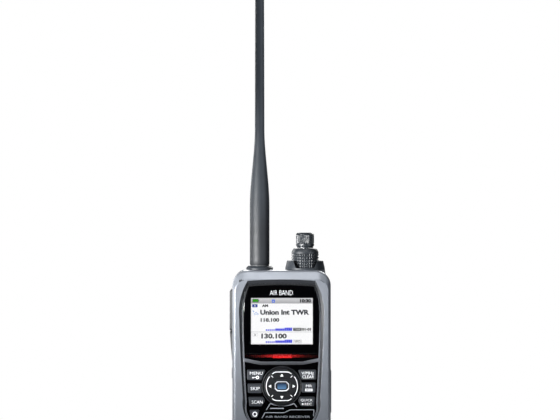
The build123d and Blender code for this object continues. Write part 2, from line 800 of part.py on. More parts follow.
def push_key(name):
    """Key cap with its flange behind the panel and the stem that presses its dome."""
    with BuildPart() as key:
        with BuildSketch(facing_front(panel_back + 0.2)):
            add(key_outline(key_corners[name]))
        extrude(amount=panel_back + 0.2 - key_front)
        chamfer(key.edges().group_by(Axis.Y)[0], length=key_bevel)
        with BuildSketch(facing_front(panel_back + 0.65)):
            add(key_outline(key_corners[name], 0.5))
        extrude(amount=0.6)
        with BuildSketch(facing_front(stem_back)):
            with Locations(stem_places[name]):
                Circle(stem_radius)
        extrude(amount=stem_back - panel_back - 0.6)
    return key


push_keys = {name: push_key(name) for name in key_corners}

# Rocker: the four-way ring tilts on a small pivot ring, with the enter key in its middle
rocker_back = -11.95
rocker_flange = 0.45
rocker_flange_thickness = 0.3
rocker_foot_radius = 1.1
rocker_foot_reach = 8.0
with BuildPart() as dpad_ring:
    with BuildSketch(facing_front(rocker_back)):
        with Locations((pad_x, pad_z)):
            Circle(pad_radius)
    extrude(amount=rocker_back - front - 0.25)
    fillet(dpad_ring.edges().group_by(Axis.Y)[0], radius=0.6)
    with BuildSketch(facing_front(rocker_back)):
        with Locations((pad_x, pad_z)):
            Circle(pad_radius + rocker_flange)
    extrude(amount=rocker_flange_thickness)
    with BuildSketch(facing_front(rocker_back + 0.1)):
        add(key_outline(enter_corners, 0.25, 0.6))
    extrude(amount=5.0, mode=Mode.SUBTRACT)
    with BuildSketch(facing_front(rocker_back + 1.1)):
        with Locations((pad_x + rocker_foot_reach, pad_z), (pad_x - rocker_foot_reach, pad_z),
                       (pad_x, pad_z + rocker_foot_reach), (pad_x, pad_z - rocker_foot_reach)):
            Circle(rocker_foot_radius)
    extrude(amount=1.2)

with BuildPart() as dpad_pivot:
    with BuildSketch(facing_front(-11.1)):
        with Locations((pad_x, pad_z)):
            Circle(6.6)
            Circle(3.2, mode=Mode.SUBTRACT)
    extrude(amount=0.5)

with BuildPart() as enter_key:
    with BuildSketch(facing_front(-12.6)):
        add(key_outline(enter_corners, 0, 0.6))
    extrude(amount=-12.6 - front - 0.35)
    chamfer(enter_key.edges().group_by(Axis.Y)[0], length=0.5)
    with BuildSketch(facing_front(stem_back)):
        with Locations((pad_x, pad_z)):
            Circle(2.6)
    extrude(amount=stem_back + 12.6)


def side_key(profile, low, high, depth, rounding):
    """Key in the left side: its outer profile in front view, cut to a rounded outline, with a flange inside."""
    with BuildPart() as key:
        with BuildSketch(facing_front(side_key_y + depth / 2)):
            with BuildLine():
                Polyline(*profile, close=True)
            make_face()
        extrude(amount=depth)
        with BuildSketch(facing_right(-half_width - 3)):
            add(block_outline(side_key_y - depth / 2, side_key_y + depth / 2, low, high, rounding))
        extrude(amount=6.0, mode=Mode.INTERSECT)
        with BuildSketch(facing_right(-half_width + wall + 0.1)):
            add(block_outline(side_key_y - depth / 2 - 0.8, side_key_y + depth / 2 + 0.8,
                              low + 0.3, high - 0.3, rounding))
        extrude(amount=0.5)
        with BuildSketch(facing_right(-half_width + wall + 0.6)):
            with Locations((side_key_y, (low + high) / 2)):
                Circle(1.0)
        extrude(amount=0.2)
    return key


key_root_x = -half_width + wall + 0.1
key_face_x = -half_width - side_key_proud
function_key = side_key(
    [(key_root_x, function_key_low), (key_root_x, function_key_high), (key_face_x + 1.2, function_key_high),
     (key_face_x, function_key_high - 1.4), (key_face_x, function_key_low + 0.3),
     (key_face_x + 0.3, function_key_low)],
    function_key_low, function_key_high, side_key_depth, 2.0,
)
squelch_key = side_key(
    [(key_root_x, squelch_key_low), (key_root_x, squelch_key_high), (key_face_x + 0.3, squelch_key_high),
     (key_face_x + 0.1, squelch_key_high - 0.3), (-half_width - 0.9, squelch_key_low + 8.5),
     (-half_width - 0.1, squelch_key_low)],
    squelch_key_low, squelch_key_high, side_key_depth, 2.0,
)
lamp_key = side_key(
    [(key_root_x, lamp_key_low), (key_root_x, lamp_key_high), (-half_width - 0.1, lamp_key_high),
     (-half_width - 0.4, lamp_key_high - 0.4), (-half_width - 0.4, lamp_key_low + 0.4),
     (-half_width - 0.1, lamp_key_low)],
    lamp_key_low, lamp_key_high, lamp_key_depth, 1.2,
)

# Flexible strip with the switches of the side keys
with BuildPart() as side_key_flex:
    with BuildSketch(facing_right(-25.4)):
        add(block_outline(-8.7, -5.3, 76.0, 126.0, 1.0))
    extrude(amount=0.4)
    with BuildSketch(facing_right(-25.4)):
        with Locations((side_key_y - 1.0, 119.75), (side_key_y - 1.0, 98.2), (side_key_y - 1.0, 82.2)):
            Circle(1.7)
    extrude(amount=-0.3, taper=25)

# Sockets on the right side and their cover
with BuildPart() as phones_jack:
    with BuildSketch(facing_right(13.6)):
        add(block_outline(cover_y - 2.55, cover_y + 2.55, jack_z - 3.2, jack_z + 3.2, 0.4))
    extrude(amount=half_width - wall - 0.05 - 13.6)
    with BuildSketch(facing_right(14.4)):
        with Locations((cover_y, jack_z)):
            Circle(1.8)
    extrude(amount=15.0, mode=Mode.SUBTRACT)

with BuildPart() as usb_socket:
    with BuildSketch(facing_right(21.4)):
        add(block_outline(-6.45, main_front - 0.05, usb_z - 3.9, usb_z + 3.9, 0.5))
    extrude(amount=half_width - wall - 0.1 - 21.4)
    with BuildSketch(facing_right(22.0)):
        add(block_outline(-6.1, main_front - 0.4, usb_z - 3.5, usb_z + 3.5, 0.4))
    extrude(amount=6.0, mode=Mode.SUBTRACT)
    with BuildSketch(facing_right(22.0)):
        add(block_outline(-5.3, -4.7, usb_z - 2.4, usb_z + 2.4))
    extrude(amount=4.2)

cover_back_x = half_width - 0.95
cover_pivot_x = cover_back_x + 0.65
cover_pivot_z = cover_bottom_z + 0.65
with BuildPart() as jack_cover:
    with BuildSketch(facing_front(cover_y + cover_depth / 2)):
        with BuildLine():
            Polyline(
                (cover_back_x, cover_pivot_z), (cover_back_x, cover_top_z), (half_width, cover_top_z),
                (half_width + cover_proud, cover_top_z - 0.4), (half_width + cover_proud, cover_pivot_z),
                close=True,
            )
        make_face()
        with Locations((cover_pivot_x, cover_pivot_z)):
            Circle(0.65)
    extrude(amount=cover_depth)
    with BuildSketch(facing_right(cover_back_x - 0.6)):
        with Locations((cover_y, jack_z)):
            Circle(cover_boss_radius)
    extrude(amount=0.7)

with BuildPart() as strap_bar:
    with BuildSketch(facing_right(strap_left - 1.0)):
        with Locations((back - 1.6, strap_bar_z)):
            Circle(strap_bar_radius)
    extrude(amount=strap_right - strap_left + 2.0)

with BuildPart() as battery_terminals:
    with BuildSketch(facing_front(chassis_back + 0.25)):
        with Locations((-6, 17.5), (0, 17.5), (6, 17.5)):
            Rectangle(2.2, 4.8)
    extrude(amount=4.0)

# Battery pack: two shells that tilt out of the hood, with two flat cells inside
pack_tab_half_width = 3.0
pack_tab_x = 15.0
contact_places = [(-6, 17.5), (0, 17.5), (6, 17.5)]
clip_screw_places = [(-5.0, 93.5), (5.0, 93.5)]
notch_half_width = latch_half_width + 0.6
notch_top_z = 12.6
notch_front_y = 13.6


def pack_outline(inset=0.0):
    """Front view of the battery pack."""
    return block_outline(-pack_half_width + inset, pack_half_width - inset, pack_bottom_z + inset,
                         pack_top_z - inset, 1.6)


with BuildPart() as pack_case:
    with BuildSketch(facing_front(back)):
        add(pack_outline())
    extrude(amount=back - pack_split_y)
    chamfer(pack_case.edges().group_by(Axis.Y)[-1], length=1.2)
    with BuildSketch(facing_front(back - pack_wall)):
        add(pack_outline(pack_wall))
    extrude(amount=back - pack_wall - pack_split_y, mode=Mode.SUBTRACT)
    # Notch for the hook of the latch, closed again behind it
    with BuildSketch(facing_front(notch_front_y)):
        add(block_outline(-notch_half_width - 1.2, notch_half_width + 1.2, pack_bottom_z, notch_top_z + 1.2))
    extrude(amount=1.2)
    with BuildSketch(facing_front(back + 1)):
        add(block_outline(-notch_half_width, notch_half_width, pack_bottom_z - 1, notch_top_z))
    extrude(amount=back + 1 - notch_front_y, mode=Mode.SUBTRACT)
    # Pilot holes for the screws of the belt clip
    with BuildSketch(facing_front(back + 0.1)):
        with Locations(*clip_screw_places):
            Circle(0.86)
    extrude(amount=pack_wall + 0.05, mode=Mode.SUBTRACT)

with BuildPart() as pack_lid:
    with BuildSketch(facing_front(pack_split_y)):
        add(pack_outline())
    extrude(amount=pack_split_y - pack_front)
    with BuildSketch(facing_front(pack_split_y)):
        add(pack_outline(pack_wall))
    extrude(amount=pack_split_y - pack_front - pack_wall, mode=Mode.SUBTRACT)
    with BuildSketch(Plane.XY.offset(pack_top_z - 0.5)):
        with Locations((-pack_tab_x, 6.4), (pack_tab_x, 6.4)):
            Rectangle(2 * pack_tab_half_width, 2.0)
    extrude(amount=3.6)
    with BuildSketch(facing_front(pack_front + 0.35)):
        with Locations(*contact_places):
            Rectangle(4.2, 6.2)
    extrude(amount=0.5, mode=Mode.SUBTRACT)

with BuildPart() as pack_cells:
    with BuildSketch(facing_front(back - pack_wall - 0.1)):
        add(block_outline(-26.5, -0.4, 24.0, 118.0, 2.0))
        add(block_outline(0.4, 26.5, 24.0, 118.0, 2.0))
    extrude(amount=7.2)

with BuildPart() as pack_contacts:
    with BuildSketch(facing_front(pack_front + 0.35)):
        with Locations(*contact_places):
            Rectangle(4.0, 6.0)
    extrude(amount=0.25)

# Belt clip: plate on the pack, sprung lever on a pin
clip_plate_back = back + 1.2
clip_pin_y = back + 3.6
with BuildPart() as clip_plate:
    with BuildSketch(facing_front(clip_plate_back)):
        add(block_outline(-9.5, 9.5, 88.5, 113.0, 1.5))
    extrude(amount=clip_plate_back - back)
    with BuildSketch(facing_right(-9.5)):
        with Locations((clip_pin_y, clip_pin_z)):
            Circle(2.0)
        add(block_outline(clip_plate_back - 0.3, clip_pin_y, clip_pin_z - 2.0, clip_pin_z + 2.0))
    extrude(amount=1.4)
    with BuildSketch(facing_right(9.5)):
        with Locations((clip_pin_y, clip_pin_z)):
            Circle(2.0)
        add(block_outline(clip_plate_back - 0.3, clip_pin_y, clip_pin_z - 2.0, clip_pin_z + 2.0))
    extrude(amount=-1.4)
    with BuildSketch(facing_right(-9.6)):
        with Locations((clip_pin_y, clip_pin_z)):
            Circle(0.91)
    extrude(amount=19.2, mode=Mode.SUBTRACT)
    with Locations(Plane(origin=(0, clip_plate_back, 0), x_dir=(-1, 0, 0), z_dir=(0, 1, 0))):
        with Locations(*clip_screw_places):
            CounterSinkHole(radius=0.95, counter_sink_radius=1.9, depth=2.0, counter_sink_angle=90)

with BuildPart() as clip_screws:
    with BuildSketch(facing_front(clip_plate_back)):
        with Locations(*clip_screw_places):
            Circle(1.85)
    extrude(amount=1.0, taper=45)
    with BuildSketch(facing_front(clip_plate_back - 0.9)):
        with Locations(*clip_screw_places):
            Circle(screw_radius)
    extrude(amount=1.4)
    with BuildSketch(facing_front(clip_plate_back + 0.1)):
        for place in clip_screw_places:
            with Locations(place):
                Rectangle(2.2, 0.45)
                Rectangle(0.45, 2.2)
    extrude(amount=0.6, mode=Mode.SUBTRACT)

with BuildPart() as clip_pin:
    with BuildSketch(facing_right(-9.5)):
        with Locations((clip_pin_y, clip_pin_z)):
            Circle(0.9)
    extrude(amount=19.0)

with BuildPart() as belt_clip:
    with BuildSketch(facing_right(-clip_half_width + 0.1)):
        with BuildLine():
            FilletPolyline(
                (clip_pin_y + 1.2, 115.0), (clip_pin_y + 1.9, clip_pin_z), (clip_pin_y + 1.9, 96.0),
                (clip_pin_y + 1.5, 54.0), (clip_pin_y - 2.5, 47.0), (clip_pin_y - 0.9, 44.0),
                radius=[6, 8, 6, 2],
            )
        trace(line_width=1.6)
        with Locations((clip_pin_y, clip_pin_z)):
            Circle(2.0)
    extrude(amount=2 * clip_half_width - 0.2)
    with BuildSketch(facing_right(-4.4)):
        with Locations((clip_pin_y, clip_pin_z)):
            Circle(1.7)
        add(block_outline(clip_pin_y - 3.0, clip_pin_y, clip_pin_z - 2.2, clip_pin_z + 2.2))
    extrude(amount=8.8, mode=Mode.SUBTRACT)
    with BuildSketch(facing_right(-clip_half_width)):
        with Locations((clip_pin_y, clip_pin_z)):
            Circle(0.96)
    extrude(amount=2 * clip_half_width, mode=Mode.SUBTRACT)
    with BuildSketch(facing_front(clip_pin_y + 6)):
        add(block_outline(-4.5, 4.5, 54.0, 90.0, 2.0))
    extrude(amount=6.0, mode=Mode.SUBTRACT)


def coil(radius, wire_radius, length, turns, centre):
    """Torsion spring: a round wire wound about a line along X."""
    x, y, z = centre
    start = (x - length / 2, y, z)
    with BuildPart() as spring:
        with BuildLine() as path:
            Helix(pitch=length / turns, height=length, radius=radius, center=start, direction=(1, 0, 0))
        wire_start = path.line @ 0
        with BuildSketch(Plane(origin=wire_start, z_dir=path.line % 0)):
            Circle(wire_radius)
        sweep(path=path.line, is_frenet=True)
    return spring


clip_spring = coil(1.25, 0.25, 7.6, 10, (0, clip_pin_y, clip_pin_z))
latch_spring = coil(1.2, 0.25, 4.6, 6, (0, latch_pin_y, latch_pin_z))

# Latch that holds the foot of the battery pack
latch_inner_y = 14.0
latch_outer_y = back - 0.1
latch_hook_z = 11.8
with BuildPart() as battery_latch:
    with BuildSketch(facing_right(-latch_half_width)):
        add(block_outline(latch_inner_y, latch_outer_y, latch_pin_z, latch_hook_z))
        with Locations((latch_pin_y, latch_pin_z)):
            Circle(latch_outer_y - latch_pin_y)
    extrude(amount=2 * latch_half_width)
    with BuildSketch(facing_right(-2.6)):
        with Locations((latch_pin_y, latch_pin_z)):
            Circle(1.6)
        add(block_outline(latch_pin_y - 3, latch_pin_y, latch_pin_z - 3, latch_pin_z + 3))
    extrude(amount=5.2, mode=Mode.SUBTRACT)
    with BuildSketch(facing_right(-latch_half_width - 1)):
        with Locations((latch_pin_y, latch_pin_z)):
            Circle(0.81)
    extrude(amount=2 * latch_half_width + 2, mode=Mode.SUBTRACT)
    # Grip ribs for a thumb nail
    with BuildSketch(facing_front(latch_outer_y + 0.1)):
        with Locations((0, 6.4), (0, 7.8), (0, 9.2)):
            Rectangle(11.0, 0.6)
    extrude(amount=0.4, mode=Mode.SUBTRACT)

with BuildPart() as latch_pin:
    with BuildSketch(facing_right(-latch_half_width - 3.4)):
        with Locations((latch_pin_y, latch_pin_z)):
            Circle(0.75)
    extrude(amount=2 * latch_half_width + 6.8)

pieces = {
    "front_case": front_case,
    "rear_chassis": rear_chassis,
    "case_seal": case_seal,
    "case_screws": case_screws,
    "panel_trim": panel_trim,
    "front_panel": front_panel,
    "display_lens": display_lens,
    "display_module": display_module,
    "display_frame": display_frame,
    "keypad_mat": keypad_mat,
    "logic_board": logic_board,
    "key_domes": key_domes,
    "main_board": main_board,
    "shield_cans": shield_cans,
    "flex_cable": flex_cable,
    "speaker": speaker,
    "speaker_mesh": speaker_mesh,
    "antenna_jack": antenna_jack,
    "antenna_collar": antenna_collar,
    "encoder_housing": encoder_housing,
    "encoder_nut": encoder_nut,
    "phones_jack": phones_jack,
    "usb_socket": usb_socket,
    "side_key_flex": side_key_flex,
    "battery_terminals": battery_terminals,
    "latch_pin": latch_pin,
    "latch_spring": latch_spring,
    "strap_bar": strap_bar,
    "dpad_pivot": dpad_pivot,
    "dpad_ring": dpad_ring,
    "enter_key": enter_key,
    "function_key": function_key,
    "squelch_key": squelch_key,
    "lamp_key": lamp_key,
    "jack_cover": jack_cover,
    "upper_knob": upper_knob,
    "inner_shaft": inner_shaft,
    "lower_knob": lower_knob,
    "outer_shaft": outer_shaft,
    "antenna_gasket": antenna_gasket,
    "antenna_sleeve": antenna_sleeve,
    "antenna_plug": antenna_plug,
    "antenna_core": antenna_core,
    "pack_case": pack_case,
    "pack_lid": pack_lid,
    "pack_cells": pack_cells,
    "pack_contacts": pack_contacts,
    "clip_plate": clip_plate,
    "belt_clip": belt_clip,
    "clip_pin": clip_pin,
    "clip_spring": clip_spring,
    "clip_screws": clip_screws,
    "battery_latch": battery_latch,
}
pieces.update(push_keys)

for name, piece in pieces.items():
    piece.part.label = name
    export_step(piece.part, f"parts/{name}.step")
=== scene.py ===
import math

import bpy
import bmesh
from mathutils import Matrix, Vector


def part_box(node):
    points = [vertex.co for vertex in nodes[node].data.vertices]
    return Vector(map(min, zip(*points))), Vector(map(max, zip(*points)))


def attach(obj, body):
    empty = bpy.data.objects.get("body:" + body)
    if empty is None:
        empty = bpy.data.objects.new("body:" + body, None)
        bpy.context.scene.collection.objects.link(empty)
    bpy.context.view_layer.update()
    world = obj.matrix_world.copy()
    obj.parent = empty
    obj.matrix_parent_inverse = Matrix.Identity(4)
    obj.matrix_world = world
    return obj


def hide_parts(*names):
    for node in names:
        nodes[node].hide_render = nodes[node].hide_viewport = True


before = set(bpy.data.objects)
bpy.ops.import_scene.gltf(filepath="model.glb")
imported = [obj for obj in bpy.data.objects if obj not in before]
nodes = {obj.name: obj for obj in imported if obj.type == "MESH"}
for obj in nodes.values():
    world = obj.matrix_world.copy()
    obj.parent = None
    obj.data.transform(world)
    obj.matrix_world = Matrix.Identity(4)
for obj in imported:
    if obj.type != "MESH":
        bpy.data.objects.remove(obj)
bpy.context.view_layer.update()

MM = 0.001
INK = 0.02          # thickness of print, in millimetres
CELL = 0.11         # pitch of the display's picture cells, in millimetres
CELL_GAP = 0.008


# ---- materials

def new_material(name):
    """A node material, with its tree, its shader and the object coordinates in metres."""
    material = bpy.data.materials.new(name)
    material.use_nodes = True
    tree = material.node_tree
    shader = tree.nodes["Principled BSDF"]
    place = tree.nodes.new("ShaderNodeTexCoord").outputs["Object"]
    return material, tree, shader, place


def noise(tree, place, size, detail=2.0, stretch=None):
    """Cloudy noise whose lumps are about size millimetres across."""
    if stretch:
        mapping = tree.nodes.new("ShaderNodeMapping")
        mapping.inputs["Scale"].default_value = stretch
        tree.links.new(place, mapping.inputs["Vector"])
        place = mapping.outputs["Vector"]
    texture = tree.nodes.new("ShaderNodeTexNoise")
    texture.inputs["Scale"].default_value = 1 / (size * MM)
    texture.inputs["Detail"].default_value = detail
    tree.links.new(place, texture.inputs["Vector"])
    return texture.outputs["Fac"]


def remap(tree, value, low, high, new_low, new_high):
    """Value from low to high becomes a number from new_low to new_high."""
    node = tree.nodes.new("ShaderNodeMapRange")
    node.inputs["From Min"].default_value = low
    node.inputs["From Max"].default_value = high
    node.inputs["To Min"].default_value = new_low
    node.inputs["To Max"].default_value = new_high
    tree.links.new(value, node.inputs["Value"])
    return node.outputs["Result"]


def blend_colours(tree, factor, first, second):
    """Colour between first and second. Each is a colour or another node's output."""
    node = tree.nodes.new("ShaderNodeMix")
    node.data_type = "RGBA"
    for socket, colour in ((node.inputs[6], first), (node.inputs[7], second)):
        if isinstance(colour, bpy.types.NodeSocket):
            tree.links.new(colour, socket)
        else:
            socket.default_value = (*colour, 1.0)
    tree.links.new(factor, node.inputs[0])
    return node.outputs[2]


def relief(tree, height, depth, normal=None):
    """Surface normal of a height map that is depth millimetres deep."""
    node = tree.nodes.new("ShaderNodeBump")
    node.inputs["Distance"].default_value = depth * MM
    tree.links.new(height, node.inputs["Height"])
    if normal:
        tree.links.new(normal, node.inputs["Normal"])
    return node.outputs["Normal"]


def soft_edge(tree, radius):
    """Normal that rounds sharp edges off, and a mask that is 1 along them."""
    bevel = tree.nodes.new("ShaderNodeBevel")
    bevel.samples = 6
    bevel.inputs["Radius"].default_value = radius * MM
    geometry = tree.nodes.new("ShaderNodeNewGeometry")
    dot = tree.nodes.new("ShaderNodeVectorMath")
    dot.operation = "DOT_PRODUCT"
    tree.links.new(bevel.outputs["Normal"], dot.inputs[0])
    tree.links.new(geometry.outputs["Normal"], dot.inputs[1])
    return bevel.outputs["Normal"], remap(tree, dot.outputs["Value"], 1.0, 0.8, 0.0, 1.0)


def shade(colour, amount):
    """The colour made lighter or darker."""
    return tuple(min(1.0, part * amount) for part in colour)


def moulded(name, colour, rough, grain=0.35, depth=0.012, mottle=0.10, gloss_spread=0.06,
            edge=0.0, wear_and_sheen=1.25, fade=None, **settings):
    """Moulded or painted part: slight mottling, uneven gloss, fine grain, and soft edges painted lighter,
    partly as wear and partly as a painted highlight.
    With fade, a low and a high place and an amount for each, the colour changes with height, as painted light
    and shade."""
    material, tree, shader, place = new_material(name)
    cloud = remap(tree, noise(tree, place, 9.0, 3.0), 0.3, 0.7, 0.0, 1.0)
    colours = blend_colours(tree, cloud, shade(colour, 1 - mottle), shade(colour, 1 + mottle))
    speck = remap(tree, noise(tree, place, grain * 0.6, 1.0), 0.35, 0.65, 0.0, 1.0)
    colours = blend_colours(tree, remap(tree, speck, 0.0, 1.0, 0.0, 0.22), colours, shade(colour, 1.5))
    normal = None
    if edge:
        normal, mask = soft_edge(tree, edge)
        # Edges made lighter along the mask: partly wear, partly a painted highlight along the edges.
        rubbed_and_sheen = tree.nodes.new("ShaderNodeMath")
        rubbed_and_sheen.operation = "MULTIPLY"
        tree.links.new(mask, rubbed_and_sheen.inputs[0])
        tree.links.new(remap(tree, noise(tree, place, 2.5, 3.0), 0.35, 0.65, 0.2, 1.0), rubbed_and_sheen.inputs[1])
        colours = blend_colours(tree, rubbed_and_sheen.outputs[0], colours, shade(colour, wear_and_sheen))
    # fade scales the colour by height: painted light and shade.
    if fade:
        scaled = tree.nodes.new("ShaderNodeVectorMath")
        scaled.operation = "SCALE"
        tree.links.new(colours, scaled.inputs[0])
        tree.links.new(along(tree, place, 2, *fade), scaled.inputs["Scale"])
        colours = scaled.outputs[0]
    tree.links.new(colours, shader.inputs["Base Color"])
    gloss = remap(tree, noise(tree, place, 5.0, 4.0), 0.3, 0.7, rough - gloss_spread, rough + gloss_spread)
    tree.links.new(gloss, shader.inputs["Roughness"])
    tree.links.new(relief(tree, noise(tree, place, grain, 2.0), depth, normal), shader.inputs["Normal"])
    for socket, value in settings.items():
        shader.inputs[socket.replace("_", " ")].default_value = value
    return material


def metal(name, colour, rough, scratch=(1.0, 1.0, 1.0), depth=0.004, edge=0.0):
    """Metal with fine drawn lines, uneven polish and slight tarnish."""
    material, tree, shader, place = new_material(name)
    tarnish = remap(tree, noise(tree, place, 3.0, 4.0), 0.35, 0.7, 0.0, 1.0)
    tree.links.new(blend_colours(tree, tarnish, colour, shade(colour, 0.78)), shader.inputs["Base Color"])
    lines = noise(tree, place, 0.3, 2.0, scratch)
    tree.links.new(remap(tree, lines, 0.3, 0.7, rough - 0.07, rough + 0.09), shader.inputs["Roughness"])
    normal = soft_edge(tree, edge)[0] if edge else None
    tree.links.new(relief(tree, lines, depth, normal), shader.inputs["Normal"])
    shader.inputs["Metallic"].default_value = 1.0
    return material


def along(tree, place, axis, low, high, new_low=0.0, new_high=1.0):
    """Number that goes from new_low to new_high along an axis, between two places in millimetres."""
    split = tree.nodes.new("ShaderNodeSeparateXYZ")
    tree.links.new(place, split.inputs[0])
    return remap(tree, split.outputs[axis], low * MM, high * MM, new_low, new_high)


def printed(name, low_colour, high_colour, low_z, high_z, rough=0.35):
    """Screen-printed ink that runs from one colour to another over a height, a little uneven."""
    material, tree, shader, place = new_material(name)
    ink = blend_colours(tree, along(tree, place, 2, low_z, high_z), low_colour, high_colour)
    patch = remap(tree, noise(tree, place, 0.5, 2.0), 0.3, 0.7, 0.86, 1.0)
    darker = tree.nodes.new("ShaderNodeVectorMath")
    darker.operation = "SCALE"
    tree.links.new(ink, darker.inputs[0])
    tree.links.new(patch, darker.inputs["Scale"])
    tree.links.new(darker.outputs[0], shader.inputs["Base Color"])
    gloss = remap(tree, noise(tree, place, 0.8, 2.0), 0.3, 0.7, rough - 0.05, rough + 0.08)
    tree.links.new(gloss, shader.inputs["Roughness"])
    tree.links.new(relief(tree, noise(tree, place, 0.25, 2.0), 0.003), shader.inputs["Normal"])
    return material


def fading_red(name, near, far):
    """Red print that fades between two distances from the middle of the panel, in millimetres."""
    material, tree, shader, place = new_material(name)
    split = tree.nodes.new("ShaderNodeSeparateXYZ")
    tree.links.new(place, split.inputs[0])
    distance = tree.nodes.new("ShaderNodeMath")
    distance.operation = "ABSOLUTE"
    tree.links.new(split.outputs[0], distance.inputs[0])
    fade = remap(tree, distance.outputs[0], near * MM, far * MM, 0.0, 1.0)
    colours = blend_colours(tree, fade, (0.22, 0.004, 0.004), (0.045, 0.001, 0.001))
    tree.links.new(colours, shader.inputs["Base Color"])
    gloss = remap(tree, noise(tree, place, 0.8, 2.0), 0.3, 0.7, 0.22, 0.34)
    tree.links.new(gloss, shader.inputs["Roughness"])
    return material


def glowing(name, low_colour, high_colour, low_z, high_z, strength=1.0):
    """Lit part of the display, with the fine grid of its picture cells."""
    material, tree, shader, place = new_material(name)
    colour = blend_colours(tree, along(tree, place, 2, low_z, high_z), low_colour, high_colour)
    cells = tree.nodes.new("ShaderNodeTexBrick")
    cells.offset = 0.0
    cells.inputs["Scale"].default_value = 1.0
    cells.inputs["Brick Width"].default_value = CELL * MM
    cells.inputs["Row Height"].default_value = CELL * MM
    cells.inputs["Mortar Size"].default_value = CELL_GAP * MM
    cells.inputs["Color1"].default_value = (1.0, 1.0, 1.0, 1.0)
    cells.inputs["Color2"].default_value = (0.97, 0.97, 0.98, 1.0)
    cells.inputs["Mortar"].default_value = (0.86, 0.86, 0.88, 1.0)
    swap = tree.nodes.new("ShaderNodeVectorRotate")
    swap.rotation_type = "X_AXIS"
    swap.inputs["Angle"].default_value = -math.pi / 2
    tree.links.new(place, swap.inputs["Vector"])
    tree.links.new(swap.outputs[0], cells.inputs["Vector"])
    lit = tree.nodes.new("ShaderNodeVectorMath")
    lit.operation = "MULTIPLY"
    tree.links.new(colour, lit.inputs[0])
    tree.links.new(cells.outputs["Color"], lit.inputs[1])
    tree.links.new(lit.outputs[0], shader.inputs["Emission Color"])
    shader.inputs["Emission Strength"].default_value = strength
    shader.inputs["Base Color"].default_value = (0.01, 0.01, 0.012, 1.0)
    shader.inputs["Roughness"].default_value = 0.3
    return material


def clear_glass(name):
    """Clear cover of the display, with faint unevenness in its polish."""
    material, tree, shader, place = new_material(name)
    shader.inputs["Base Color"].default_value = (1.0, 1.0, 1.0, 1.0)
    shader.inputs["Transmission Weight"].default_value = 1.0
    shader.inputs["IOR"].default_value = 1.45
    smear = remap(tree, noise(tree, place, 6.0, 3.0), 0.4, 0.75, 0.0, 0.03)
    tree.links.new(smear, shader.inputs["Roughness"])
    return material


def board(name):
    """Circuit board: solder mask over tracks, with tinned pads."""
    material, tree, shader, place = new_material(name)
    tracks = tree.nodes.new("ShaderNodeTexVoronoi")
    tracks.distance = "MANHATTAN"
    tracks.feature = "F1"
    tracks.inputs["Scale"].default_value = 1 / (2.2 * MM)
    tree.links.new(place, tracks.inputs["Vector"])
    mask = remap(tree, tracks.outputs["Distance"], 0.42, 0.46, 0.0, 1.0)
    colours = blend_colours(tree, mask, (0.005, 0.09, 0.035), (0.012, 0.16, 0.06))
    tree.links.new(colours, shader.inputs["Base Color"])
    tree.links.new(remap(tree, mask, 0.0, 1.0, 0.28, 0.4), shader.inputs["Roughness"])
    tree.links.new(relief(tree, mask, 0.03), shader.inputs["Normal"])
    return material


def woven(name, colour, pitch):
    """Fine woven cloth: two sets of threads that pass over and under each other."""
    material, tree, shader, place = new_material(name)
    heights = []
    for direction in ("X", "Z"):
        wave = tree.nodes.new("ShaderNodeTexWave")
        wave.bands_direction = direction
        wave.inputs["Scale"].default_value = 0.31 / (pitch * MM)
        wave.inputs["Distortion"].default_value = 0.3
        tree.links.new(place, wave.inputs["Vector"])
        heights.append(wave.outputs["Fac"])
    weave = tree.nodes.new("ShaderNodeMath")
    weave.operation = "MULTIPLY"
    tree.links.new(heights[0], weave.inputs[0])
    tree.links.new(heights[1], weave.inputs[1])
    colours = blend_colours(tree, weave.outputs[0], shade(colour, 0.4), shade(colour, 1.6))
    tree.links.new(colours, shader.inputs["Base Color"])
    tree.links.new(remap(tree, weave.outputs[0], 0.0, 1.0, 0.95, 0.8), shader.inputs["Roughness"])
    tree.links.new(relief(tree, weave.outputs[0], 0.08), shader.inputs["Normal"])
    shader.inputs["Sheen Weight"].default_value = 0.2
    return material


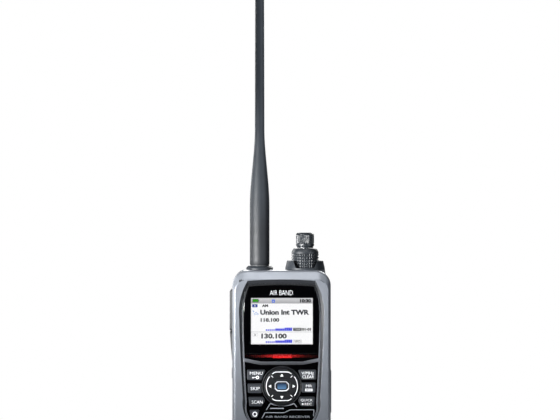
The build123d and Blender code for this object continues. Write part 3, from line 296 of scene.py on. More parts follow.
finishes = {
    "case_grey": moulded("case_grey", (0.100, 0.108, 0.122), rough=0.34, grain=0.30, depth=0.008,
        mottle=0.05, gloss_spread=0.04, edge=0.35, wear_and_sheen=1.15, Metallic=0.45),
    "chassis_paint": moulded("chassis_paint", (0.028, 0.030, 0.034), rough=0.55, grain=0.45, depth=0.035,
        edge=0.5, wear_and_sheen=1.9),
    "panel_black": moulded("panel_black", (0.0002, 0.0002, 0.0003), rough=0.10, grain=1.4, depth=0.0012,
        mottle=0.2, gloss_spread=0.02, edge=0.15, wear_and_sheen=1.3, Specular_IOR_Level=0.3),
    # The trim's colour fades to near black towards the top: painted shade on its upper part.
    "trim_silver": moulded("trim_silver", (0.075, 0.080, 0.090), rough=0.33, grain=0.25, depth=0.004,
        mottle=0.06, gloss_spread=0.05, edge=0.12, wear_and_sheen=1.5, fade=(95.0, 134.0, 1.15, 0.08), Metallic=0.55),
    # The chevron's colour is dark at its foot and light at its top: painted light falling from above.
    "chevron_painted_light": moulded("chevron_painted_light", (0.075, 0.080, 0.090), rough=0.33, grain=0.25, depth=0.004,
        mottle=0.06, gloss_spread=0.05, edge=0.12, wear_and_sheen=1.5, fade=(87.8, 91.4, 0.22, 1.25), Metallic=0.55),
    "key_slate": moulded("key_slate", (0.0088, 0.0105, 0.0135), rough=0.47, grain=0.22, depth=0.010,
        mottle=0.08, gloss_spread=0.05, edge=0.35, wear_and_sheen=2.0, Specular_IOR_Level=0.28),
    "pad_slate": moulded("pad_slate", (0.0016, 0.0020, 0.0027), rough=0.45, grain=0.22, depth=0.008,
        gloss_spread=0.05, edge=0.35, wear_and_sheen=4.0, Specular_IOR_Level=0.18),
    # Near-black finish for the slope round the panel: painted shade, standing for the shadow under the
    # panel's overhang.
    "recess_painted_shade": moulded("recess_painted_shade", (0.0030, 0.0036, 0.0050), rough=0.5, grain=0.22, depth=0.008,
        gloss_spread=0.05, edge=0.1, wear_and_sheen=1.5, Specular_IOR_Level=0.25),
    "shroud_slate": moulded("shroud_slate", (0.009, 0.0108, 0.0132), rough=0.50, grain=0.25, depth=0.010,
        mottle=0.08, gloss_spread=0.05, edge=0.35, wear_and_sheen=1.8, Specular_IOR_Level=0.15),
    "knob_slate": moulded("knob_slate", (0.0070, 0.0086, 0.0106), rough=0.42, grain=0.22, depth=0.010,
        edge=0.15, wear_and_sheen=2.6, Specular_IOR_Level=0.28),
    # The antenna's colour is scaled from dark below 165 mm to lighter above 225 mm: painted light and shade
    # along its height.
    "antenna_slate": moulded("antenna_slate", (0.0135, 0.0164, 0.0205), rough=0.58, grain=0.5, depth=0.010,
        mottle=0.09, gloss_spread=0.05, fade=(165.0, 225.0, 0.35, 2.0), Specular_IOR_Level=0.28),
    "black_rubber": moulded("black_rubber", (0.014, 0.015, 0.016), rough=0.62, grain=0.35, depth=0.030,
        mottle=0.15, gloss_spread=0.05, edge=0.3, wear_and_sheen=1.6),
    "black_plastic": moulded("black_plastic", (0.012, 0.0125, 0.014), rough=0.48, grain=0.4, depth=0.020,
        gloss_spread=0.05, edge=0.4, wear_and_sheen=2.2),
    "grey_plastic": moulded("grey_plastic", (0.12, 0.125, 0.13), rough=0.5, grain=0.4, depth=0.012,
        mottle=0.08, gloss_spread=0.05, edge=0.3, wear_and_sheen=1.3),
    "board_green": board("board_green"),
    "tin_steel": metal("tin_steel", (0.62, 0.62, 0.60), rough=0.28, scratch=(1.0, 1.0, 0.08), edge=0.2),
    "dark_steel": metal("dark_steel", (0.22, 0.22, 0.23), rough=0.34, scratch=(1.0, 1.0, 0.1), edge=0.15),
    "gold_brass": metal("gold_brass", (0.83, 0.60, 0.24), rough=0.24, scratch=(1.0, 1.0, 0.1), edge=0.1),
    "amber_film": moulded("amber_film", (0.42, 0.19, 0.035), rough=0.32, grain=0.8, depth=0.004),
    "cell_wrap": moulded("cell_wrap", (0.02, 0.06, 0.22), rough=0.33, grain=0.9, depth=0.006,
        gloss_spread=0.05, edge=0.4, wear_and_sheen=1.5),
    "black_cloth": woven("black_cloth", (0.015, 0.015, 0.016), pitch=0.32),
    "lens_clear": clear_glass("lens_clear"),
    "white_ink": printed("white_ink", (0.52, 0.53, 0.54), (0.56, 0.56, 0.57), low_z=50, high_z=90),
    "line_ink": printed("line_ink", (0.11, 0.12, 0.135), (0.14, 0.15, 0.165), low_z=50, high_z=70),
    "word_ink": printed("word_ink", (0.50, 0.51, 0.53), (0.60, 0.61, 0.63), low_z=128, high_z=132),
    "red_ink": printed("red_ink", (0.26, 0.004, 0.004), (0.05, 0.0015, 0.002), low_z=91.9, high_z=93.9,
        rough=0.25),
    # The silver rim is light at its foot and dark at its top: painted reflection.
    "rim_silver_painted_light": printed("rim_silver_painted_light", (0.46, 0.47, 0.49), (0.20, 0.21, 0.23), low_z=71.5, high_z=78.5,
        rough=0.3),
    "label_film": moulded("label_film", (0.24, 0.245, 0.25), rough=0.38, grain=0.5, depth=0.004,
        mottle=0.04, gloss_spread=0.05),
}

node_finish = {
    "case_grey": "front_case",
    "shroud_slate": "antenna_collar",
    "chassis_paint": "rear_chassis",
    "panel_black": "front_panel",
    "trim_silver": "panel_trim",
    "key_slate": "menu_key skip_key scan_key power_key clear_key memory_key record_key",
    "pad_slate": "dpad_ring enter_key",
    "knob_slate": "encoder_housing",
    "black_rubber": "case_seal keypad_mat antenna_gasket jack_cover function_key squelch_key lamp_key",
    "black_plastic": "display_frame phones_jack usb_socket dpad_pivot pack_case pack_lid clip_plate"
                     " battery_latch belt_clip speaker",
    "board_green": "logic_board main_board",
    "tin_steel": "shield_cans key_domes display_module",
    "dark_steel": "case_screws clip_screws clip_pin latch_pin clip_spring latch_spring strap_bar"
                  " encoder_nut inner_shaft outer_shaft antenna_core",
    "gold_brass": "antenna_jack antenna_plug battery_terminals pack_contacts",
    "amber_film": "flex_cable side_key_flex",
    "cell_wrap": "pack_cells",
    "black_cloth": "speaker_mesh",
}
for finish, names in node_finish.items():
    for name in names.split():
        mesh = nodes[name].data
        if not mesh.materials:
            mesh.materials.append(None)
        for index in range(len(mesh.materials)):
            mesh.materials[index] = finishes[finish]


# ---- faces with a finish of their own, and faces with painted shade or painted light

def corners(name):
    """Lowest and highest corners of a CAD node, in millimetres."""
    low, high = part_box(name)
    return low / MM, high / MM


def tint_faces(name, finish, wanted):
    """Gives another finish to the faces of a CAD node that wanted(middle in millimetres, normal) picks."""
    mesh = nodes[name].data
    mesh.materials.append(finishes[finish])
    for face in mesh.polygons:
        if wanted(face.center / MM, face.normal):
            face.material_index = len(mesh.materials) - 1


case_low = corners("front_case")[0]
trim_low, trim_high = corners("panel_trim")
recess_depth = 1.3
recess_margins = {"side": 1.6, "low": 1.5, "high": 2.2}
case_top = 143.0
chevron_low, chevron_high, chevron_half_width = 87.0, 92.5, 20.8


def on_recess_slope(middle, normal):
    """Whether a face of the case is on the slope round the panel."""
    deep = case_low.y + 0.02 < middle.y < case_low.y + recess_depth
    across = abs(middle.x) < trim_high.x + recess_margins["side"]
    upright = trim_low.z - recess_margins["low"] < middle.z < trim_high.z + recess_margins["high"]
    return deep and across and upright and normal.y > -0.999


def on_shroud(middle, normal):
    """Whether a face of the case is above its flat top."""
    return middle.z > case_top + 0.05


def on_chevron(middle, normal):
    """Whether a face of the trim is on the front of its chevron bar."""
    return chevron_low < middle.z < chevron_high and abs(middle.x) < chevron_half_width and normal.y < -0.5


# The slope round the panel gets a near-black finish: painted shade in the recess.
tint_faces("front_case", "recess_painted_shade", on_recess_slope)
tint_faces("front_case", "shroud_slate", on_shroud)
# The chevron's front faces get a finish with painted light, lighter towards the top.
tint_faces("panel_trim", "chevron_painted_light", on_chevron)


# ---- mesh helpers

def finish_piece(mesh, name, finish, body, replaced=()):
    """Makes an object of a mesh in metres, and puts it on a body of the radio."""
    if mesh.materials:
        mesh.materials.clear()
    mesh.materials.append(finishes[finish] if isinstance(finish, str) else finish)
    mesh.name = name
    piece = bpy.data.objects.new(name, mesh)
    bpy.context.scene.collection.objects.link(piece)
    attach(piece, body)
    if replaced:
        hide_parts(*replaced)
    return piece


def outline_mesh(loops, front, back, round_edge=0.0):
    """Flat plate between two depths, from closed loops of (x, z) points. Inner loops are holes."""
    curve = bpy.data.curves.new("outline", "CURVE")
    curve.dimensions = "2D"
    curve.fill_mode = "BOTH"
    curve.extrude = max((back - front) / 2 - round_edge, 0.0)
    curve.bevel_depth = round_edge
    curve.bevel_resolution = 2
    curve.offset = -round_edge
    for loop in loops:
        spline = curve.splines.new("POLY")
        spline.points.add(len(loop) - 1)
        for point, (x, z) in zip(spline.points, loop):
            point.co = (x, z, 0.0, 1.0)
        spline.use_cyclic_u = True
    return curve_mesh(curve, (front + back) / 2)


def curve_mesh(curve, depth):
    """Mesh of a flat curve or text in millimetres, stood up to face the front at a depth."""
    holder = bpy.data.objects.new("holder", curve)
    bpy.context.scene.collection.objects.link(holder)
    bpy.context.view_layer.update()
    evaluated = holder.evaluated_get(bpy.context.evaluated_depsgraph_get())
    mesh = bpy.data.meshes.new_from_object(evaluated)
    bpy.data.objects.remove(holder)
    bpy.data.curves.remove(curve)
    mesh.transform(Matrix.Translation((0, depth, 0)) @ Matrix.Rotation(math.pi / 2, 4, "X"))
    mesh.transform(Matrix.Scale(MM, 4))
    return mesh


def text_mesh(words, left, right, low, high, front, back, weight=0.0):
    """Lettering stretched to fill a box, as a plate between two depths."""
    curve = bpy.data.curves.new("words", "FONT")
    curve.body = words
    curve.resolution_u = 3
    curve.extrude = (back - front) / 2
    curve.offset = weight
    mesh = curve_mesh(curve, (front + back) / 2)
    across = [vertex.co.x for vertex in mesh.vertices]
    upright = [vertex.co.z for vertex in mesh.vertices]
    x_low, x_high = min(across), max(across)
    z_low, z_high = min(upright), max(upright)
    for vertex in mesh.vertices:
        vertex.co.x = (left + (vertex.co.x - x_low) / (x_high - x_low) * (right - left)) * MM
        vertex.co.z = (low + (vertex.co.z - z_low) / (z_high - z_low) * (high - low)) * MM
    return mesh


def merged(meshes):
    """One mesh of several."""
    joined = bmesh.new()
    for mesh in meshes:
        joined.from_mesh(mesh)
        bpy.data.meshes.remove(mesh)
    mesh = bpy.data.meshes.new("merged")
    joined.to_mesh(mesh)
    joined.free()
    return mesh


def rectangle(left, right, low, high, rounding=0.0, steps=5):
    """Closed loop of an upright rectangle, with round corners if asked."""
    if not rounding:
        return [(left, low), (right, low), (right, high), (left, high)]
    points = []
    for x, z, start in ((right - rounding, low + rounding, -90), (right - rounding, high - rounding, 0),
                        (left + rounding, high - rounding, 90), (left + rounding, low + rounding, 180)):
        for step in range(steps + 1):
            angle = math.radians(start + 90 * step / steps)
            points.append((x + rounding * math.cos(angle), z + rounding * math.sin(angle)))
    return points


def circle(x, z, radius, steps=48):
    """Closed loop of a circle."""
    return [(x + radius * math.cos(math.tau * i / steps), z + radius * math.sin(math.tau * i / steps))
            for i in range(steps)]


def stroke(points, width):
    """Closed loop that follows an open line with a constant width."""
    sides = []
    for index, (x, z) in enumerate(points):
        before = Vector(points[max(index - 1, 0)])
        after = Vector(points[min(index + 1, len(points) - 1)])
        along_line = (after - before).normalized()
        across = Vector((-along_line.y, along_line.x)) * width / 2
        sides.append(((x + across.x, z + across.y), (x - across.x, z - across.y)))
    return [a for a, b in sides] + [b for a, b in reversed(sides)]


def turned(rows, columns, centre_x, radius_at=None):
    """Turned solid about an upright axis: a ring of points for each (radius, z) in rows.
    radius_at(angle, row) may change the radius round the ring. Both ends are closed by a flat face."""
    surface = bmesh.new()
    rings = []
    for row, (radius, z) in enumerate(rows):
        ring = []
        for column in range(columns):
            angle = math.tau * column / columns
            r = radius_at(angle, row) if radius_at else radius
            x, y = centre_x + r * math.cos(angle), r * math.sin(angle)
            ring.append(surface.verts.new((x * MM, y * MM, z * MM)))
        rings.append(ring)
    for lower, upper in zip(rings, rings[1:]):
        for column in range(columns):
            after = (column + 1) % columns
            surface.faces.new((lower[column], lower[after], upper[after], upper[column]))
    for ring, turn in ((rings[0], True), (rings[-1], False)):
        surface.faces.new(list(reversed(ring)) if turn else ring)
    bmesh.ops.recalc_face_normals(surface, faces=surface.faces)
    mesh = bpy.data.meshes.new("turned")
    surface.to_mesh(mesh)
    surface.free()
    return mesh


def smooth(piece, angle=35):
    """Smooth shading, with edges sharper than the angle kept sharp."""
    piece.data.shade_smooth()
    piece.data.set_sharp_from_angle(angle=math.radians(angle))
    return piece


# ---- places, in millimetres

lens_low, lens_high = corners("display_lens")
enter_low, enter_high = corners("enter_key")
sleeve_low, sleeve_high = corners("antenna_sleeve")
upper_low, upper_high = corners("upper_knob")
lower_low, lower_high = corners("lower_knob")

panel_front = corners("front_panel")[0].y
key_front = corners("menu_key")[0].y
pad_front = corners("dpad_ring")[0].y
enter_front = enter_low.y
pad_x = (enter_low.x + enter_high.x) / 2
pad_z = (enter_low.z + enter_high.z) / 2
antenna_x = (sleeve_low.x + sleeve_high.x) / 2
knob_x = (lower_low.x + lower_high.x) / 2
screen_front = corners("display_module")[0].y - 0.05


# ---- display and lens

window_left, window_right, window_low, window_high = -17.95, 18.35, 99.6, 126.9
screen_left, screen_right, screen_low, screen_high = -17.84, 18.24, 99.74, 126.74
lens_shoulder_z = 117.0
lens_shoulder_drop = 0.95
lens_crown = 0.9
lens_half_top = 18.7
lens_waist = 0.42


def window(inset, rounding):
    """Outline of the display window, made smaller all round."""
    return rectangle(window_left + inset, window_right - inset, window_low + inset, window_high - inset,
                     rounding)


def lens_outline():
    """Upper part of the panel's outline, just inside the trim."""
    half_low = lens_high.x - INK
    top, low = lens_high.z - INK, lens_low.z + INK
    right = []
    for step in range(13):
        t = step / 12
        right.append((half_low - lens_waist * (1 - t) ** 1.6, low + (lens_shoulder_z - low) * t))
    for step in range(1, 11):
        t = step / 10
        x = half_low - (half_low - lens_half_top) * t ** 2.05
        right.append((x, lens_shoulder_z + (top - lens_shoulder_drop - lens_shoulder_z) * t))
    crown = []
    for step in range(1, 16):
        across = 1 - 2 * step / 16
        crown.append((lens_half_top * across, top - lens_crown * across ** 2))
    left = [(-x, z) for x, z in reversed(right)]
    return right + crown + left


print_plate = outline_mesh([lens_outline(), window(0.0, 0.3)], lens_low.y, lens_high.y - INK, 0.04)
finish_piece(print_plate, "lens_print", "panel_black", "radio", ["display_lens"])
glass = outline_mesh([window(0.02, 0.28)], lens_low.y + INK, lens_high.y - 0.3, 0.02)
finish_piece(glass, "lens_glass", "lens_clear", "radio")

white = (1.0, 1.0, 1.0)
screen = glowing("screen_white", white, white, 99, 127, 1.06)
screen_mesh = outline_mesh([rectangle(screen_left, screen_right, screen_low, screen_high)],
                           screen_front - INK, screen_front)
finish_piece(screen_mesh, "screen_face", screen, "radio")

# Layers of the graphics, each in front of the one before. In the calls below, the numbers after a
# layer or a word are the left, right, low and high edge.
layer_one, layer_two, layer_three = [
    (screen_front - (step + 1) * INK, screen_front - step * INK) for step in (1, 2, 3)]


def on_screen(name, meshes, colour, low_colour=None, low_z=99.0, high_z=127.0):
    """Graphics on the lit face of the display."""
    finish = glowing(name, low_colour or colour, colour, low_z, high_z)
    return finish_piece(merged(meshes), name, finish, "radio")


def block(layer, left, right, low, high, rounding=0.0):
    """Rectangle on a layer of the display."""
    return outline_mesh([rectangle(left, right, low, high, rounding)], *layer)


on_screen("status_bar", [block(layer_one, screen_left, screen_right, 123.56, screen_high)],
          (0.72, 0.72, 0.73), (0.42, 0.42, 0.43), 123.6, 126.7)
on_screen("battery_frame", [
    block(layer_two, -17.1, -13.45, 124.2, 126.2, 0.2),
    block(layer_two, -13.45, -13.15, 124.8, 125.6),
], (0.06, 0.065, 0.07))
on_screen("battery_level", [block(layer_three, -16.8, -13.75, 124.5, 125.9)],
          (0.03, 0.40, 0.0), (0.015, 0.30, 0.0), 124.4, 125.9)
icon = [rectangle(-5.7, -3.9, 124.0, 125.9, 0.3), rectangle(-5.2, -4.4, 124.5, 125.1)]
on_screen("status_icon", [outline_mesh(icon, *layer_two)], (0.04, 0.16, 0.80))
on_screen("clock", [text_mesh("10:30", 10.8, 17.4, 124.1, 126.2, *layer_two, 0.06)], (0.01, 0.01, 0.012))
on_screen("band_badge", [block(layer_one, -17.2, -14.05, 121.35, 123.15, 0.2)], (0.0, 0.032, 0.31))
on_screen("band_letter", [text_mesh("A", -16.2, -15.05, 121.65, 122.9, *layer_two, 0.02)],
          (0.9, 0.92, 0.95))
on_screen("mode_word", [text_mesh("AM", -11.5, -7.9, 121.5, 123.05, *layer_one, 0.06)],
          (0.01, 0.01, 0.012))
on_screen("tower_icon", [
    outline_mesh([[(-17.2, 119.7), (-15.9, 118.9), (-16.6, 118.3)]], *layer_one),
    outline_mesh([stroke([(-16.3, 117.4), (-14.9, 118.4), (-13.4, 117.2)], 0.35)], *layer_one),
    outline_mesh([stroke([(-16.0, 116.8), (-14.9, 117.5), (-14.0, 116.8)], 0.3)], *layer_one),
], (0.35, 0.52, 0.85))
on_screen("station_name", [text_mesh("Union Int TWR", -12.5, 16.2, 116.9, 119.9, *layer_one, 0.05)],
          (0.018, 0.021, 0.028))
on_screen("station_frequency", [text_mesh("118.100", -12.3, -1.35, 112.8, 115.0, *layer_one, 0.05)],
          (0.02, 0.02, 0.022))

first_bar_left = -9.2
bar_pitch = 1.105
bar_count = 14
bars_in_step = 5
bar_heights = (0.95, 1.4, 1.9)


def signal_bars(base):
    """Row of bars that grow in three steps."""
    bars = []
    for index in range(bar_count):
        left = first_bar_left + index * bar_pitch
        step = index // bars_in_step
        width = 1.0 if step else 0.75
        bars.append(block(layer_one, left, left + width, base, base + bar_heights[step]))
    return bars


on_screen("signal_bars", signal_bars(107.5) + signal_bars(100.45), (0.0, 0.02, 0.78))
on_screen("group_badge", [block(layer_one, 6.8, 11.75, 107.5, 109.3, 0.25)], (0.05, 0.05, 0.055))
on_screen("group_word", [text_mesh("TWR", 7.5, 11.1, 107.8, 109.0, *layer_two)], (0.8, 0.8, 0.8))
on_screen("group_number", [text_mesh("01-01", 12.0, 17.3, 107.55, 109.25, *layer_one, 0.06)],
          (0.015, 0.015, 0.017))
on_screen("divider", [block(layer_one, screen_left, screen_right, 106.75, 106.98)], (0.36, 0.36, 0.37))
badge = [rectangle(-16.9, -13.9, 104.3, 106.1, 0.3), rectangle(-16.75, -14.05, 104.45, 105.95, 0.2)]
on_screen("second_badge", [outline_mesh(badge, *layer_one)], (0.6, 0.6, 0.61))
on_screen("second_letter", [text_mesh("B", -15.9, -14.95, 104.65, 105.75, *layer_one)],
          (0.08, 0.08, 0.085))
on_screen("second_frequency", [text_mesh("130.100", -11.85, 3.05, 103.0, 105.95, *layer_one, 0.045)],
          (0.030, 0.032, 0.036))
badge = [rectangle(6.8, 11.75, 100.4, 102.2, 0.25), rectangle(6.95, 11.6, 100.55, 102.05, 0.15)]
on_screen("tuning_badge", [
    outline_mesh(badge, *layer_one),
    text_mesh("VFO", 7.5, 11.1, 100.75, 101.9, *layer_one, 0.03),
], (0.22, 0.22, 0.225))

word_mesh = text_mesh("AIR BAND", -6.7, 6.5, 128.6, 131.3, lens_low.y - INK / 2, lens_low.y + INK / 2, -0.028)
finish_piece(word_mesh, "front_word", "word_ink", "radio")


# ---- red band and printed lines

panel_ink = (panel_front - INK, panel_front)
band_left, band_right, band_low, band_high = -5.3, 5.95, 91.75, 93.95
band_middle = 0.3
mark_columns = 13
mark_pitch = 1.17
mark_row_gap = 0.98
first_mark = 6.35
first_mark_z = 93.3
mark_size = 0.40
mark_columns_to_nothing = 18.0


def diamond(x, z, size):
    """Plate of ink shaped like a square that stands on its corner."""
    return outline_mesh([[(x - size, z), (x, z - size), (x + size, z), (x, z + size)]], *panel_ink)


red_marks = []
for side in (-1, 1):
    for column in range(mark_columns):
        x = band_middle + side * (first_mark + column * mark_pitch)
        size = mark_size * (1 - column / mark_columns_to_nothing)
        for row in range(2):
            red_marks.append(diamond(x, first_mark_z - row * mark_row_gap, size))
        red_marks.append(diamond(x + side * mark_pitch / 2, first_mark_z - mark_row_gap / 2, size * 0.8))
band_mesh = outline_mesh([rectangle(band_left, band_right, band_low, band_high)], *panel_ink)
finish_piece(merged(red_marks), "red_marks", fading_red("red_marks", 5.5, 14.0), "radio")
finish_piece(band_mesh, "red_band", "red_ink", "radio")

arc_x, arc_half_width = 0.4, 7.0
arc_low_z, arc_rise = 63.7, 1.4
arc = []
for step in range(25):
    across = step / 12 - 1
    arc.append((arc_x + arc_half_width * across, arc_low_z + arc_rise * across ** 2))
line_width = 0.45
lines = [
    stroke(arc, 0.5),
    stroke([(-6.6, 65.0), (-9.0, 61.3)], line_width),
    stroke([(7.4, 65.0), (9.0, 62.9)], line_width),
    rectangle(-6.7, 1.35, 61.9, 62.5),
    stroke([(-11.5, 56.4), (-9.9, 59.4), (-9.75, 59.7)], line_width),
    stroke([(-9.75, 59.7), (-8.0, 59.7), (1.67, 59.7)], line_width),
    stroke([(1.67, 59.7), (3.4, 60.6), (5.16, 61.4)], line_width),
    stroke([(5.16, 61.4), (10.0, 61.4), (18.95, 61.4)], line_width),
    stroke([(18.95, 61.4), (18.8, 57.6)], line_width),
]
line_meshes = [outline_mesh([loop], *panel_ink) for loop in lines]
finish_piece(merged(line_meshes), "panel_lines", "line_ink", "radio")
words_mesh = text_mesh("AIR BAND RECEIVER", -9.4, 16.7, 56.7, 57.9, *panel_ink, 0.005)
finish_piece(words_mesh, "panel_words", "line_ink", "radio")


# ---- legends on the keys

key_ink = (key_front - INK, key_front)


def legend(key, meshes):
    """White print on a key cap."""
    return finish_piece(merged(meshes), "legend_" + key, "white_ink", key)


def key_ring(x, z, outer, inner, steps):
    """Printed ring on a key."""
    return outline_mesh([circle(x, z, outer, steps), circle(x, z, inner, steps)], *key_ink)


legend("menu_key", [
    text_mesh("MENU", -18.5, -11.1, 82.0, 83.7, *key_ink, -0.009),
    outline_mesh([rectangle(-17.2, -14.9, 80.25, 80.6)], *key_ink),
    outline_mesh([rectangle(-16.9, -16.5, 79.7, 80.3)], *key_ink),
    key_ring(-14.1, 80.4, 0.95, 0.45, 24),
])
legend("skip_key", [text_mesh("SKIP", -18.1, -12.8, 73.0, 74.8, *key_ink, -0.004)])
legend("scan_key", [text_mesh("SCAN", -17.4, -11.1, 65.1, 66.9, *key_ink, -0.004)])
legend("power_key", [key_ring(-15.6, 58.9, 1.45, 0.9, 32)])
legend("clear_key", [
    text_mesh("V/MHz", 11.7, 18.9, 82.1, 83.8, *key_ink, -0.006),
    text_mesh("CLEAR", 12.2, 19.0, 79.9, 81.6, *key_ink, -0.006),
])
legend("memory_key", [
    text_mesh("MR", 14.3, 17.8, 74.7, 76.2, *key_ink, -0.004),
    outline_mesh([rectangle(13.9, 18.1, 72.3, 73.8, 0.2)], *key_ink),
])
write_mesh = text_mesh("MW", 14.5, 17.5, 72.5, 73.6, key_front - 2 * INK, key_front - INK, 0.01)
finish_piece(write_mesh, "legend_write", "key_slate", "memory_key")
legend("record_key", [
    text_mesh("QUICK", 11.3, 18.2, 66.2, 67.8, *key_ink, -0.006),
    outline_mesh([circle(12.4, 64.8, 0.5, 20)], *key_ink),
    text_mesh("REC", 13.6, 17.6, 64.1, 65.5, *key_ink, -0.004),
])


# ---- rocker and enter key

pad_ink = (pad_front - INK, pad_front)
ring_radius = 9.35
ring_flat = 8.5
ring_width = 0.4
ring_arc_starts = (-38, 52, 142, 232)
ring_arc = 76
tick_from, tick_to, tick_width = 7.3, 8.7, 0.36
arrow_length, arrow_half_width = 1.5, 0.9


def ring_point(angle, inset):
    """Point on the white ring of the rocker, which is flattened above and below."""
    radius, flat = ring_radius - inset, ring_flat - inset
    x, z = radius * math.cos(angle), radius * math.sin(angle)
    if abs(z) > flat:
        z = math.copysign(flat + (abs(z) - flat) * 0.12, z)
    return pad_x + x, pad_z + z


def arrow(x, z, base):
    """Closed loop of a triangle that points outwards from the middle of the rocker, towards (x, z)."""
    side_x, side_z = abs(z) * arrow_half_width, abs(x) * arrow_half_width
    tip = base + arrow_length
    return [
        (pad_x + x * base - side_x, pad_z + z * base - side_z),
        (pad_x + x * base + side_x, pad_z + z * base + side_z),
        (pad_x + x * tip, pad_z + z * tip),
    ]


marks = []
for start in ring_arc_starts:
    angles = [math.radians(start + ring_arc * step / 20) for step in range(21)]
    outer = [ring_point(angle, 0.0) for angle in angles]
    inner = [ring_point(angle, ring_width) for angle in reversed(angles)]
    marks.append(outer + inner)
for quarter in range(4):
    angle = math.radians(45 + 90 * quarter)
    ends = [(pad_x + r * math.cos(angle), pad_z + r * math.sin(angle)) for r in (tick_from, tick_to)]
    marks.append(stroke(ends, tick_width))
marks += [arrow(0, 1, 5.75), arrow(0, -1, 5.75), arrow(-1, 0, 6.3), arrow(1, 0, 6.3)]
mark_meshes = [outline_mesh([loop], *pad_ink) for loop in marks]
finish_piece(merged(mark_meshes), "legend_rocker", "white_ink", "dpad")


def octagon(w, h, c):
    """Closed loop of a rectangle with half sizes w and h, and its corners cut by c, about the enter key."""
    offsets = [(w, -h + c), (w, h - c), (w - c, h), (-w + c, h),
               (-w, h - c), (-w, -h + c), (-w + c, -h), (w - c, -h)]
    return [(pad_x + x, pad_z + z) for x, z in offsets]


rim = outline_mesh([octagon(4.15, 2.95, 1.45), octagon(3.75, 2.35, 1.3)], enter_front - INK, enter_front)
finish_piece(rim, "enter_rim", "rim_silver_painted_light", "enter_key")
blue = printed("window_blue", (0.045, 0.10, 0.18), (0.012, 0.022, 0.045),
               low_z=pad_z - 1.8, high_z=pad_z + 1.2, rough=0.12)
window_mesh = outline_mesh([octagon(2.55, 1.6, 0.45)], enter_front - 3 * INK, enter_front, 0.02)
finish_piece(window_mesh, "enter_window", blue, "enter_key")

# Raised ring in the panel round the rocker
bezel_columns = 96
bezel_profile = [(10.85, 0.0), (11.0, 0.12), (11.35, 0.22), (11.65, 0.12), (11.8, 0.0)]
bezel = bmesh.new()
bezel_rings = []
for column in range(bezel_columns):
    angle = math.tau * column / bezel_columns
    ring = []
    for r, rise in bezel_profile:
        x, y, z = pad_x + r * math.cos(angle), panel_front - rise, pad_z + r * math.sin(angle)
        ring.append(bezel.verts.new((x * MM, y * MM, z * MM)))
    bezel_rings.append(ring)
for column, ring in enumerate(bezel_rings):
    after = bezel_rings[(column + 1) % bezel_columns]
    for place in range(len(bezel_profile)):
        following = (place + 1) % len(bezel_profile)
        bezel.faces.new((ring[place], ring[following], after[following], after[place]))
bmesh.ops.recalc_face_normals(bezel, faces=bezel.faces)
bezel_mesh = bpy.data.meshes.new("pad_bezel")
bezel.to_mesh(bezel_mesh)
bezel.free()
smooth(finish_piece(bezel_mesh, "pad_bezel", "pad_slate", "radio"), 60)


# ---- knobs

def ridge(value):
    """Sharp-topped wave between 0 and 1 that repeats with each whole number."""
    return abs((value % 1.0) * 2 - 1)


def pressed(value):
    """Flat-topped wave: 1 on the pad of a knurl and 0 at the bottom of its groove."""
    return min(1.0, (1 - ridge(value)) * 1.7)


def knob_rows(profile, step):
    """Profile divided into short rows, so that a knurl has points to follow."""
    rows = []
    for (r0, z0), (r1, z1) in zip(profile, profile[1:]):
        count = max(1, round(math.hypot(r1 - r0, z1 - z0) / step))
        rows += [(r0 + (r1 - r0) * i / count, z0 + (z1 - z0) * i / count) for i in range(count)]
    return rows + [profile[-1]]


lower_radius = (lower_high.x - lower_low.x) / 2
lower_knurl_low, lower_knurl_high = 144.3, 152.5
lower_pad_pitch = 1.68
lower_pads_round = 34
lower_groove = 0.55
lower_rows = knob_rows([
    (5.9, 144.5), (6.3, lower_low.z), (lower_radius - 0.5, lower_low.z),
    (lower_radius, lower_low.z + 0.5), (lower_radius, 152.6), (7.85, 153.8), (7.1, 155.2),
    (6.7, lower_high.z), (3.2, lower_high.z), (3.0, 155.3),
], 0.17)


def lower_radius_at(angle, row):
    """Radius of the lower knob, whose grip is a grid of square pads."""
    radius, z = lower_rows[row]
    if radius < lower_radius - 0.05 or z < lower_knurl_low or z > lower_knurl_high:
        return radius
    pad_row = (z - lower_knurl_low + 0.1) / lower_pad_pitch
    pad_column = angle * lower_pads_round / math.tau
    return radius - lower_groove * (1 - min(pressed(pad_row), pressed(pad_column)))


lower_mesh = turned(lower_rows, 384, knob_x, lower_radius_at)
lower_skin = finish_piece(lower_mesh, "lower_knob_skin", "knob_slate", "lower_knob",
                          ["lower_knob"])
smooth(lower_skin, 30)

upper_radius = (upper_high.x - upper_low.x) / 2
upper_foot_radius = 4.85
upper_grip_low, upper_grip_high = 158.3, 163.8
upper_groove = 0.35
upper_flutes = 40
upper_flute_depth = 0.32
upper_rows = knob_rows([
    (1.9, upper_low.z), (upper_foot_radius, upper_low.z), (upper_foot_radius, 156.6),
    (upper_radius, 157.3), (upper_radius, 164.1), (upper_radius - 0.8, upper_high.z),
    (upper_radius - 1.3, upper_high.z), (upper_radius - 1.5, upper_high.z - 0.2),
    (0.4, upper_high.z - 0.2),
], 0.2)


def upper_radius_at(angle, row):
    """Radius of the upper knob, which has fine upright flutes between two grooves."""
    radius, z = upper_rows[row]
    if not upper_grip_low < z < upper_grip_high:
        return radius
    if z < upper_grip_low + 0.3 or z > upper_grip_high - 0.3:
        return radius - upper_groove
    return radius - upper_flute_depth * ridge(angle * upper_flutes / math.tau)


upper_mesh = turned(upper_rows, 352, knob_x, upper_radius_at)
upper_skin = finish_piece(upper_mesh, "upper_knob_skin", "knob_slate", "upper_knob",
                          ["upper_knob"])
smooth(upper_skin, 30)


# ---- side keys and battery pack

